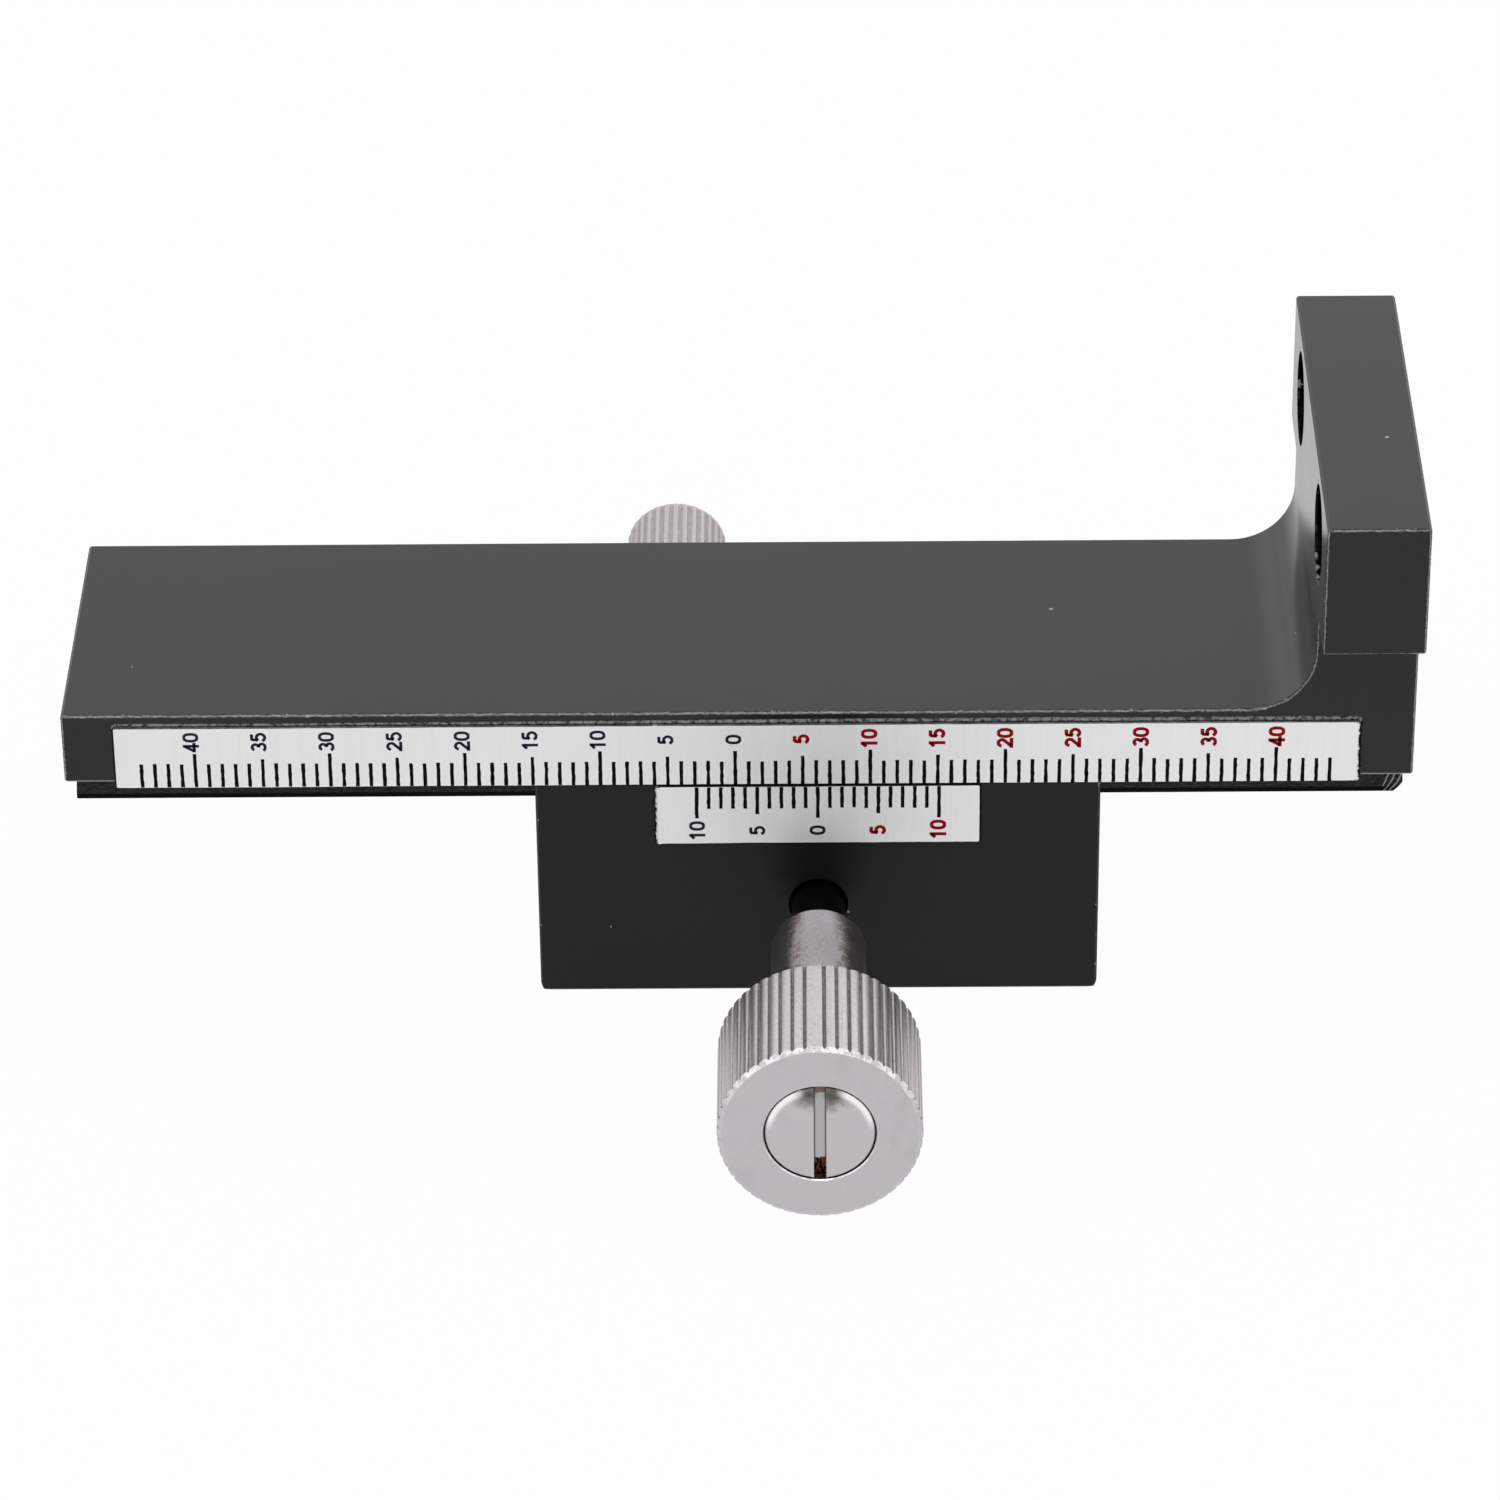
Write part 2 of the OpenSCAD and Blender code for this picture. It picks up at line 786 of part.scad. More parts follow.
module thrust_washer() {
    color([0.75, 0.6, 0.32])
        translate([0, 0, axis_z])
            difference() {
                rod(washer_d, washer_y, washer_y + washer_t);
                rod(shaft_d + 2 * run_gap, washer_y - over, washer_y + washer_t + over);
            }
}

// Dished spring washer that gives the drive its drag
module spring_washer() {
    inner = shaft_d / 2 + run_gap;
    outer = spring_d / 2;
    rise = spring_h - spring_t;
    color([0.5, 0.5, 0.5])
        translate([0, 0, axis_z])
            turned()
                polygon([
                    [outer, spring_y],
                    [outer, spring_y + spring_t],
                    [inner, spring_y + spring_t + rise],
                    [inner, spring_y + rise]
                ]);
}

module e_clip() {
    mouth = clip_neck_d * clip_mouth_share;
    color([0.3, 0.3, 0.3])
        translate([0, clip_y, axis_z])
            rotate([-90, 0, 0])
                linear_extrude(clip_t)
                    difference() {
                        circle(d = clip_d);
                        circle(d = clip_neck_d + 2 * seat_gap);
                        translate([-mouth / 2, 0])
                            square([mouth, clip_d]);
                        for (side = [0, 1])
                            mirror([side, 0])
                                translate(clip_neck_d * clip_notch_shares)
                                    circle(d = clip_neck_d * clip_notch_share);
                    }
}

module drive_knob() {
    color([0.75, 0.73, 0.73])
        translate([0, 0, axis_z])
            difference() {
                union() {
                    turned()
                        polygon([
                            [0, knob_y - over],
                            [neck_d / 2, knob_y - over],
                            [neck_d / 2, neck_y - neck_c],
                            [neck_d / 2 - neck_c, neck_y],
                            [0, neck_y]
                        ]);
                    knurled(knob_d, knob_ridges, face_y, knob_y, knurl_c);
                }
                // Round bore up to the flat's start, then a bore with a flat
                rod(shaft_d + 2 * seat_gap, flat_start, neck_y + over);
                difference() {
                    rod(shaft_d + 2 * seat_gap, shaft_tip_y, flat_start + seat_gap);
                    translate([-shaft_d, shaft_tip_y - over, shaft_d / 2 - flat_cut + seat_gap])
                        cube([2 * shaft_d, flat_start - shaft_tip_y + over, shaft_d]);
                }
                rod(cap_shank_d + 2 * cap_gap, cap_floor - over, shaft_tip_y + over / 2);
                rod(cap_d + 2 * cap_gap, face_y - over, cap_floor);
            }
}

// Slotted screw with a low domed head, sunk in the knob's face
module knob_screw() {
    rim_y = face_y + cap_sink;
    dome_r = (pow(cap_d / 2, 2) + pow(cap_dome, 2)) / (2 * cap_dome);
    dome_half = asin(cap_d / 2 / dome_r);
    color([0.78, 0.76, 0.76])
        translate([0, 0, axis_z])
            difference() {
                union() {
                    intersection() {
                        rod(cap_d, rim_y - cap_dome - over, cap_floor - seat_gap);
                        translate([0, rim_y - cap_dome + dome_r, 0])
                            sphere(r = dome_r, $fn = 96);
                    }
                    rod(cap_shank_d, cap_floor - over, shaft_tip_y + cap_shank_len - over / 2);
                }
                translate([-cap_slot / 2, rim_y - cap_dome - over, -cap_d])
                    cube([cap_slot, over + cap_dome + cap_rim * cap_slot_share, 2 * cap_d]);
            }
}

// The lock

module lock_pad() {
    color([0.75, 0.6, 0.32])
        translate([lock_x, 0, gib_z])
            rod(dog_d, spot_y + lock_free, rear_y - stud_start - seat_gap);
}

module lock_stud() {
    color([0.6, 0.6, 0.6])
        translate([lock_x, 0, gib_z])
            rod(screw_d, rear_y - stud_start, rear_y + lock_off + collar_len + stud_bite - seat_gap);
}

module lock_knob() {
    collar_y = rear_y + lock_off;
    grip_y = collar_y + collar_len;
    color([0.72, 0.71, 0.71])
        translate([lock_x, 0, gib_z])
            difference() {
                union() {
                    rod(collar_d, collar_y, grip_y + lock_c);
                    knurled(lock_d, lock_ridges, grip_y, grip_y + lock_len, lock_c);
                }
                rod(screw_d + 2 * seat_gap, collar_y - over, grip_y + stud_bite);
            }
}

carriage_block();
front_bush();
rear_bush();
gib_strip();
gib_set_screws();
travel_stop_screw();
vernier_plate();
slide_bracket();
rack();
rack_screws();
main_scale_plate();
pinion_shaft();
pinion_gear();
pinion_pin();
thrust_washer();
spring_washer();
e_clip();
drive_knob();
knob_screw();
lock_pad();
lock_stud();
lock_knob();
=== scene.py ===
"""Looks of a dovetail z-axis stage: its finishes, scale plates, knurled knobs, studio and camera.

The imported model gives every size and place. New pieces are surfaces on a grid of two parameters,
worked out in millimetres as whole arrays and put into meshes in metres.
"""

import logging
import math
from dataclasses import dataclass, field, replace
from enum import Enum
from typing import Optional, Union
import bmesh
import bpy
import numpy as np
from mathutils import Matrix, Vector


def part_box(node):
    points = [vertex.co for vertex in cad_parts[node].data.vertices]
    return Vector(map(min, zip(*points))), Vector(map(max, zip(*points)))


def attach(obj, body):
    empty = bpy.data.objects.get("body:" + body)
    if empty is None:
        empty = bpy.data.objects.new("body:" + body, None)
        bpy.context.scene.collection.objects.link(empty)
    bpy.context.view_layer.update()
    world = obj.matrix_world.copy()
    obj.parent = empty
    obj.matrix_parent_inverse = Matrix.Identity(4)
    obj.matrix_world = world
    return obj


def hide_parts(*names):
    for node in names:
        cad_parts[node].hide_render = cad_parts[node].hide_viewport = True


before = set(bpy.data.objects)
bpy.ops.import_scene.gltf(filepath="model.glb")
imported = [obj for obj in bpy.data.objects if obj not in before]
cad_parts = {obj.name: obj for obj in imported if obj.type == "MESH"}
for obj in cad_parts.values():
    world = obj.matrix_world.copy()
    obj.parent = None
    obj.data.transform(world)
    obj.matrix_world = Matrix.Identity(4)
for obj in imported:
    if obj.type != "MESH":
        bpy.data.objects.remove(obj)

Array = np.ndarray
Colour = tuple[float, float, float]
Pair = tuple[float, float]
Socket = bpy.types.NodeSocket
Material = bpy.types.Material
Object = bpy.types.Object

MM = 0.001
WAVE_SCALE = 2.5
log = logging.getLogger("stage")


def box_mm(node: str) -> tuple[Array, Array]:
    """Returns a node's lowest and highest corners in millimetres."""
    low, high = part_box(node)
    return np.array(low) / MM, np.array(high) / MM


def waves(place: Array, length: float, seed: int, shortest: float, count: int = 24) -> Array:
    """Returns a smooth random height of about one unit along a closed line.

    The height is a sum of sines, each with a whole number of periods in the line's length, so that
    the line's end meets its start. Longer waves are higher, by the square root of their length.

    Args:
        place: Distances along the line.
        length: Length of the whole line, in the same unit.
        seed: Number that picks the random phases and periods.
        shortest: Shortest wavelength.
        count: How many sines are added.

    Returns:
        One height for each distance.
    """
    pick = np.random.default_rng(seed)
    periods = np.rint(np.geomspace(1, length / shortest, count))
    phases = pick.uniform(0, 2 * np.pi, count)
    heights = pick.uniform(0.4, 1, count) / np.sqrt(periods)
    turns = 2 * np.pi * place[..., None] * periods / length + phases
    total = (np.sin(turns) * heights).sum(axis=-1)
    return total / heights.sum() * WAVE_SCALE


def smooth_step(value: Array, low: float, high: float) -> Array:
    """Returns 0 below low, 1 above high and a smooth rise between them."""
    share = np.clip((value - low) / (high - low), 0, 1)
    return share * share * (3 - 2 * share)


def turned(node: str, radius: Array, y: Array, angle: Array) -> Array:
    """Returns points turned about a node's own axis along Y.

    A point is the axis plus the radius times the sine and cosine of its angle, which starts upwards.

    Args:
        node: The node whose box has the axis in its middle.
        radius: Distances from the axis, in millimetres.
        y: Places along it.
        angle: Angles about it.

    Returns:
        Points by three.
    """
    low, high = box_mm(node)
    centre = (low + high) / 2
    radius, y, angle = np.broadcast_arrays(radius, y, angle)
    return np.stack([centre[0] + radius * np.sin(angle), y, centre[2] + radius * np.cos(angle)], axis=-1)


@dataclass
class Surface:
    """A grid of points that becomes one mesh, closed along rows, columns or both.

    Attributes:
        name: Name of the object.
        points: Array of rows by columns by three, in millimetres.
        wrap_rows: Whether the last row joins the first.
        wrap_columns: Whether the last column joins the first.
        groove: One value for each point, kept as the attribute that finishes read.
        weld: Whether points at one place are merged, as at a pole.
        crease_deg: Angle above which an edge stays sharp.
    """

    name: str
    points: Array
    wrap_rows: bool = True
    wrap_columns: bool = True
    groove: Optional[Array] = None
    weld: bool = False
    crease_deg: float = 35.0

    def cells(self) -> list[Array]:
        """Returns the row and the column of each cell's own point.

        Returns:
            Two arrays over the cells.
        """
        rows, columns = self.points.shape[:2]
        down = np.arange(rows if self.wrap_rows else rows - 1)
        across = np.arange(columns if self.wrap_columns else columns - 1)
        return np.meshgrid(down, across, indexing="ij")

    def faces(self) -> Array:
        """Returns each face's four corners: the cell's own point, the next in its row, and both below.

        Returns:
            Faces by four.
        """
        rows, columns = self.points.shape[:2]
        down, across = self.cells()
        below = (down + 1) % rows
        right = (across + 1) % columns
        upper, lower = down * columns, below * columns
        corners = [upper + across, upper + right, lower + right, lower + across]
        return np.stack(corners, axis=-1).reshape(-1, 4)

    def wrap_places(self) -> Array:
        """Returns a map place for each face corner: arc lengths along and across the grid in millimetres.

        Returns:
            Faces by four by two.
        """
        steps_u = np.linalg.norm(np.roll(self.points, -1, axis=1) - self.points, axis=2).max(axis=0)
        steps_v = np.linalg.norm(np.roll(self.points, -1, axis=0) - self.points, axis=2).mean(axis=1)
        along_u = np.concatenate([[0], np.cumsum(steps_u)])
        along_v = np.concatenate([[0], np.cumsum(steps_v)])
        down, across = self.cells()
        u = np.stack([across, across + 1, across + 1, across], axis=-1)
        v = np.stack([down, down, down + 1, down + 1], axis=-1)
        return np.stack([along_u[u], along_v[v]], axis=-1).reshape(-1, 4, 2)

    def build(self) -> Object:
        """Returns the object, with its faces turned outwards by the sign of the volume that they close.

        Returns:
            The new object.
        """
        faces = self.faces()
        places = self.wrap_places()
        flat = self.points.reshape(-1, 3)
        corner = flat[faces] - flat.mean(axis=0)
        first = np.cross(corner[:, 1], corner[:, 2])
        second = np.cross(corner[:, 2], corner[:, 3])
        if (corner[:, 0] * (first + second)).sum() < 0:
            faces = faces[:, ::-1]
            places = places[:, ::-1]
        return new_object(self.name, flat, faces, places, self.groove, self.weld, self.crease_deg)


def new_object(
    name: str,
    points: Array,
    faces: Array,
    places: Optional[Array] = None,
    groove: Optional[Array] = None,
    weld: bool = False,
    crease_deg: float = 35.0,
) -> Object:
    """Makes a smooth-shaded mesh object at the origin.

    Args:
        name: Name of the object.
        points: Points in millimetres.
        faces: Four corner numbers for each face.
        places: Map place of each face corner.
        groove: One value for each point.
        weld: Whether points at one place are merged.
        crease_deg: Angle above which an edge stays sharp.

    Returns:
        The new object, linked to the scene.
    """
    mesh = bpy.data.meshes.new(name)
    mesh.from_pydata((points * MM).tolist(), [], faces.tolist())
    if places is not None:
        layer = mesh.uv_layers.new(name="Wrap")
        layer.data.foreach_set("uv", places.astype(np.float32).ravel())
    if groove is not None:
        attribute = mesh.attributes.new("groove", "FLOAT", "POINT")
        attribute.data.foreach_set("value", groove.astype(np.float32).ravel())
    if weld:
        merge_points(mesh)
    mesh.shade_smooth()
    mesh.set_sharp_from_angle(angle=math.radians(crease_deg))
    mesh.update()
    piece = bpy.data.objects.new(name, mesh)
    bpy.context.scene.collection.objects.link(piece)
    return piece


def merge_points(mesh: bpy.types.Mesh) -> None:
    """Merges points at one place, drops faces without area and turns the rest outwards.

    Args:
        mesh: The mesh to change.
    """
    shape = bmesh.new()
    shape.from_mesh(mesh)
    bmesh.ops.remove_doubles(shape, verts=shape.verts, dist=1e-7)
    bmesh.ops.dissolve_degenerate(shape, edges=shape.edges, dist=1e-8)
    bmesh.ops.recalc_face_normals(shape, faces=shape.faces)
    shape.to_mesh(mesh)
    shape.free()


def strips(name: str, left: Array, right: Array) -> Object:
    """Makes flat strips that face the drive knob's side, each between a left and a right edge.

    Args:
        name: Name of the object.
        left: Strips by points by three, in millimetres.
        right: The other edge, alike.

    Returns:
        One object that holds all the strips.
    """
    count, length = left.shape[:2]
    points = np.stack([left, right], axis=2).reshape(-1, 3)
    start = (np.arange(count)[:, None] * length + np.arange(length - 1)) * 2
    faces = np.stack([start, start + 1, start + 3, start + 2], axis=-1).reshape(-1, 4)
    corner = points[faces]
    normal = np.cross(corner[:, 1] - corner[:, 0], corner[:, 2] - corner[:, 0])
    faces = np.where((normal[:, 1] > 0)[:, None], faces[:, ::-1], faces)
    return new_object(name, points, faces)


class Value:
    """A node's output that plain arithmetic works on; each operator adds one node."""

    def __init__(self, tree: "Tree", socket: Socket) -> None:
        """Keeps the output and the tree that it belongs to."""
        self.tree = tree
        self.socket = socket

    def __add__(self, other: "Source") -> "Value":
        """Returns the sum."""
        return self.tree.math("ADD", self, other)

    def __sub__(self, other: "Source") -> "Value":
        """Returns the difference."""
        return self.tree.math("SUBTRACT", self, other)

    def __rsub__(self, other: "Source") -> "Value":
        """Returns what this leaves of a plain number."""
        return self.tree.math("SUBTRACT", other, self)

    def __mul__(self, other: "Source") -> "Value":
        """Returns the product, which also means both of two masks."""
        return self.tree.math("MULTIPLY", self, other)

    def __or__(self, other: "Source") -> "Value":
        """Returns the greater one, which also means either of two masks."""
        return self.tree.math("MAXIMUM", self, other)

    def __gt__(self, other: "Source") -> "Value":
        """Returns 1 where this is greater."""
        return self.tree.math("GREATER_THAN", self, other)

    def __lt__(self, other: "Source") -> "Value":
        """Returns 1 where this is smaller."""
        return self.tree.math("LESS_THAN", self, other)

    def __abs__(self) -> "Value":
        """Returns it without its sign."""
        return self.tree.math("ABSOLUTE", self)


Source = Union[Value, Socket, float, tuple]


class Tree:
    """Adds nodes to one node tree; an input is a plain value or another node's output."""

    def __init__(self, tree: bpy.types.NodeTree) -> None:
        """Keeps the tree that the nodes go to."""
        self.tree = tree

    @classmethod
    def of(cls, owner: Union[Material, bpy.types.World]) -> "Tree":
        """Returns a material's or a world's tree, with its first nodes taken out.

        Args:
            owner: The material or world.

        Returns:
            Its tree.
        """
        owner.use_nodes = True
        owner.node_tree.nodes.clear()
        return cls(owner.node_tree)

    def node(self, kind: str, inputs: Optional[dict] = None, **choices: object) -> bpy.types.Node:
        """Adds a node, sets its choices, and sets or links its inputs.

        Args:
            kind: Name of the node type.
            inputs: Value or output for each named or numbered input.
            **choices: The node's own settings.

        Returns:
            The new node.
        """
        made = self.tree.nodes.new(kind)
        for name, value in choices.items():
            setattr(made, name, value)
        for key, value in (inputs or {}).items():
            self.feed(made.inputs[key], value)
        return made

    def feed(self, target: Socket, value: Source) -> None:
        """Links an output to an input, or sets the input's own value.

        Args:
            target: The input.
            value: What it gets.
        """
        if isinstance(value, Value):
            value = value.socket
        if isinstance(value, Socket):
            self.tree.links.new(value, target)
        else:
            target.default_value = value

    def out(
        self, output: Union[str, int], kind: str, inputs: Optional[dict] = None, **choices: object
    ) -> Value:
        """Adds a node and returns one of its outputs."""
        return Value(self, self.node(kind, inputs, **choices).outputs[output])

    def math(self, operation: str, *values: Source) -> Value:
        """Returns the result of one sum on numbers."""
        return self.out(0, "ShaderNodeMath", dict(enumerate(values)), operation=operation)

    def vector(self, operation: str, *values: Source) -> Value:
        """Returns the vector that one sum on vectors gives."""
        return self.out("Vector", "ShaderNodeVectorMath", dict(enumerate(values)), operation=operation)

    def reach(self, operation: str, *values: Source) -> Value:
        """Returns the number that one sum on vectors gives, such as a length or a distance."""
        return self.out("Value", "ShaderNodeVectorMath", dict(enumerate(values)), operation=operation)

    def span(self, value: Source, low: float, high: float, start: Source = 0.0, end: Source = 1.0) -> Value:
        """Returns a smooth rise from start to end while the value goes from low to high."""
        inputs = {"Value": value, "From Min": low, "From Max": high, "To Min": start, "To Max": end}
        return self.out("Result", "ShaderNodeMapRange", inputs, interpolation_type="SMOOTHSTEP")

    def near(self, value: Source, place: float, within: float) -> Value:
        """Returns 1 where the value is no further than within from a place."""
        return self.math("COMPARE", value, place, within)

    def mix(self, factor: Source, first: Source, second: Source) -> Value:
        """Returns a colour between two colours."""
        return self.out(2, "ShaderNodeMix", {0: factor, 6: first, 7: second}, data_type="RGBA")

    def blend(self, factor: Source, first: Source, second: Source) -> Value:
        """Returns a number between two numbers."""
        return self.out(0, "ShaderNodeMix", {0: factor, 2: first, 3: second}, data_type="FLOAT")

    def noise(self, vector: Source, scale: Source, detail: float = 3.0, roughness: float = 0.55) -> Value:
        """Returns a smooth random value around one half."""
        inputs = {"Vector": vector, "Scale": scale, "Detail": detail, "Roughness": roughness}
        return self.out(0, "ShaderNodeTexNoise", inputs)

    def place(self) -> Value:
        """Returns the object's own coordinates in millimetres."""
        inner = self.out("Object", "ShaderNodeTexCoord")
        return self.out("Vector", "ShaderNodeMapping", {"Vector": inner, "Scale": (1 / MM,) * 3})

    def parts(self, vector: Source) -> tuple[Value, ...]:
        """Returns a vector's X, Y and Z."""
        split = self.node("ShaderNodeSeparateXYZ", {0: vector})
        return tuple(Value(self, part) for part in split.outputs)

    def normal(self, kind: str = "Normal") -> tuple[Value, ...]:
        """Returns the X, Y and Z of the surface's smooth or true normal."""
        return self.parts(self.out(kind, "ShaderNodeNewGeometry"))

    def effect(self, name: str, **inputs: Source) -> dict[str, Value]:
        """Places a shared effect with its own values and returns its outputs by name.

        Args:
            name: Name of the effect.
            **inputs: Values of its inputs.

        Returns:
            Its outputs.
        """
        made = self.node("ShaderNodeGroup", node_tree=EFFECTS.get(name))
        for key, value in inputs.items():
            self.feed(made.inputs[key], value)
        return {output.name: Value(self, output) for output in made.outputs}


def grey(value: float) -> tuple[float, float, float, float]:
    """Returns a neutral colour."""
    return (value, value, value, 1.0)


def shade(colour: Colour, share: float = 1.0) -> tuple[float, float, float, float]:
    """Returns a colour made lighter or darker by a share."""
    return (colour[0] * share, colour[1] * share, colour[2] * share, 1.0)


@dataclass
class Effects:
    """The shader node groups that the finishes share, each built when it is first asked for."""

    trees: dict[str, bpy.types.NodeTree] = field(default_factory=dict)

    def get(self, name: str) -> bpy.types.NodeTree:
        """Returns the group that the method of this name builds.

        Args:
            name: Name of the method.

        Returns:
            The group.
        """
        if name not in self.trees:
            self.trees[name] = getattr(self, name)()
        return self.trees[name]

    @staticmethod
    def start(name: str, *inputs: str) -> tuple[Tree, list[Value]]:
        """Makes a group with a Vector input and named ones, which are numbers unless marked as a vector.

        Args:
            name: Name of the group.
            *inputs: Names of its further inputs; a star marks a vector.

        Returns:
            The group's tree and its inputs.
        """
        group = bpy.data.node_groups.new(name, "ShaderNodeTree")
        for key in ("Vector*", *inputs):
            kind = "NodeSocketVector" if key.endswith("*") else "NodeSocketFloat"
            group.interface.new_socket(name=key.rstrip("*"), in_out="INPUT", socket_type=kind)
        tree = Tree(group)
        given = tree.node("NodeGroupInput")
        return tree, [Value(tree, output) for output in given.outputs[: len(inputs) + 1]]

    @staticmethod
    def finish(tree: Tree, **outputs: Value) -> bpy.types.NodeTree:
        """Gives a group its outputs and returns it.

        Args:
            tree: The group's tree.
            **outputs: Values of its outputs.

        Returns:
            The group.
        """
        for name, value in outputs.items():
            kind = "NodeSocketVector" if value.socket.type == "VECTOR" else "NodeSocketFloat"
            tree.tree.interface.new_socket(name=name, in_out="OUTPUT", socket_type=kind)
        tree.node("NodeGroupOutput", outputs)
        return tree.tree

    def edge_wear(self) -> bpy.types.NodeTree:
        """Returns the group that finds edges: where a rounded normal leaves the face's own normal.

        Returns:
            The group.
        """
        tree, (place, radius, breakup, share) = self.start("edge wear", "Radius", "Breakup", "Share")
        rounded = tree.out(0, "ShaderNodeBevel", {"Radius": radius}, samples=6)
        own = tree.out("True Normal", "ShaderNodeNewGeometry")
        edge = tree.span(1.0 - tree.reach("DOT_PRODUCT", rounded, own), 0.012, 0.06)
        rise = (tree.noise(place, breakup, 4.0) - (1.0 - share)) * 9.0
        return self.finish(tree, Mask=edge * tree.out(0, "ShaderNodeClamp", {"Value": rise}), Normal=rounded)

    def grain(self) -> bpy.types.NodeTree:
        """Returns the group for grain or brushing: noise on coordinates stretched along the marks.

        Returns:
            The group.
        """
        tree, (place, stretch, scale) = self.start("grain", "Stretch*", "Scale")
        stretched = tree.vector("MULTIPLY", place, stretch)
        fine = tree.noise(stretched, scale, 4.0, 0.65)
        broad = tree.noise(stretched, scale * 0.21, 2.0)
        return self.finish(tree, Value=tree.blend(0.35, fine, broad))

    def rings(self) -> bpy.types.NodeTree:
        """Returns the group for turned faces: noise over the distance from an axis along Y.

        Returns:
            The group.
        """
        tree, (place, centre, scale) = self.start("rings", "Centre*", "Scale")
        flat = tree.vector("MULTIPLY", tree.vector("SUBTRACT", place, centre), (1.0, 0.0, 1.0))
        radius = tree.reach("LENGTH", flat)
        line = tree.out(0, "ShaderNodeCombineXYZ", {"X": radius + tree.noise(flat, 0.9, 2.0) * 0.05})
        return self.finish(tree, Value=tree.noise(line, scale, 5.0, 0.7), Radius=radius)

    def specks(self) -> bpy.types.NodeTree:
        """Returns the group for dust: small dots in a few cells of a cell pattern, picked at random.

        Returns:
            The group.
        """
        tree, (place, scale, amount, dot) = self.start("specks", "Scale", "Amount", "Dot")
        cells = tree.node("ShaderNodeTexVoronoi", {"Vector": place, "Scale": scale})
        pick = tree.node("ShaderNodeSeparateColor", {"Color": cells.outputs["Color"]}).outputs
        chosen = Value(tree, pick[0]) > 1.0 - amount
        size = dot * tree.span(pick[1], 0.0, 1.0, 0.3, 1.0)
        return self.finish(tree, Mask=chosen * (Value(tree, cells.outputs["Distance"]) < size))

    def blotches(self) -> bpy.types.NodeTree:
        """Returns the group for smudges and mottling: warped noise raised between two levels.

        Returns:
            The group.
        """
        tree, (place, scale, least) = self.start("blotches", "Scale", "Least")
        shifted = tree.vector("ADD", place, tree.noise(place, scale * 2.3, 2.0) * 0.8)
        over = (tree.noise(shifted, scale, 5.0, 0.6) - least) * 5.0
        return self.finish(tree, Mask=tree.out(0, "ShaderNodeClamp", {"Value": over}))


EFFECTS = Effects()


@dataclass(frozen=True)
class Finish:
    """A surface finish; each kind adds its own nodes around one shader."""

    name: str

    def material(self) -> Material:
        """Returns a new material with this finish.

        Returns:
            The material.
        """
        made = bpy.data.materials.new(self.name)
        tree = Tree.of(made)
        shader = tree.node("ShaderNodeBsdfPrincipled")
        tree.node("ShaderNodeOutputMaterial", {"Surface": shader.outputs["BSDF"]})
        for name, value in self.dress(tree).items():
            tree.feed(shader.inputs[name], value)
        return made

    def dress(self, tree: Tree) -> dict[str, Source]:
        """Adds the finish's own nodes and returns what the shader's inputs get."""
        raise NotImplementedError

    @staticmethod
    def relief(tree: Tree, height: Source, depth: float, normal: Optional[Value] = None) -> Value:
        """Returns a bumpy normal.

        Args:
            tree: The material's tree.
            height: Height from 0 to 1.
            depth: Millimetres from the lowest to the highest point.
            normal: Normal that the bumps stand on, if it isn't the surface's own.

        Returns:
            The normal.
        """
        inputs = {"Height": height, "Distance": depth * MM, "Strength": 1.0}
        if normal:
            inputs["Normal"] = normal
        return tree.out("Normal", "ShaderNodeBump", inputs)


@dataclass(frozen=True)
class Stain:
    """A round ragged patch: a darker patch, a real speck, or a painted glint, as each use sets it.

    Attributes:
        place: Its middle in millimetres.
        size: Its radius in millimetres.
        strength: How much of the surface it hides, from 0 to 1.
    """

    place: tuple[float, float, float]
    size: float
    strength: float

    def mask(self, tree: Tree, place: Value, patch: Value, spread: float, solid: float) -> Value:
        """Returns where the patch lies.

        Args:
            tree: The material's tree.
            place: The surface's coordinates.
            patch: Noise that makes the border ragged.
            spread: How far the border wanders, in radii.
            solid: Share of the radius with full strength.

        Returns:
            A mask from 0 to the patch's strength.
        """
        ragged = tree.reach("DISTANCE", place, self.place) + (patch - 0.5) * (self.size * spread)
        return tree.span(ragged, self.size * solid, self.size, self.strength, 0.0)


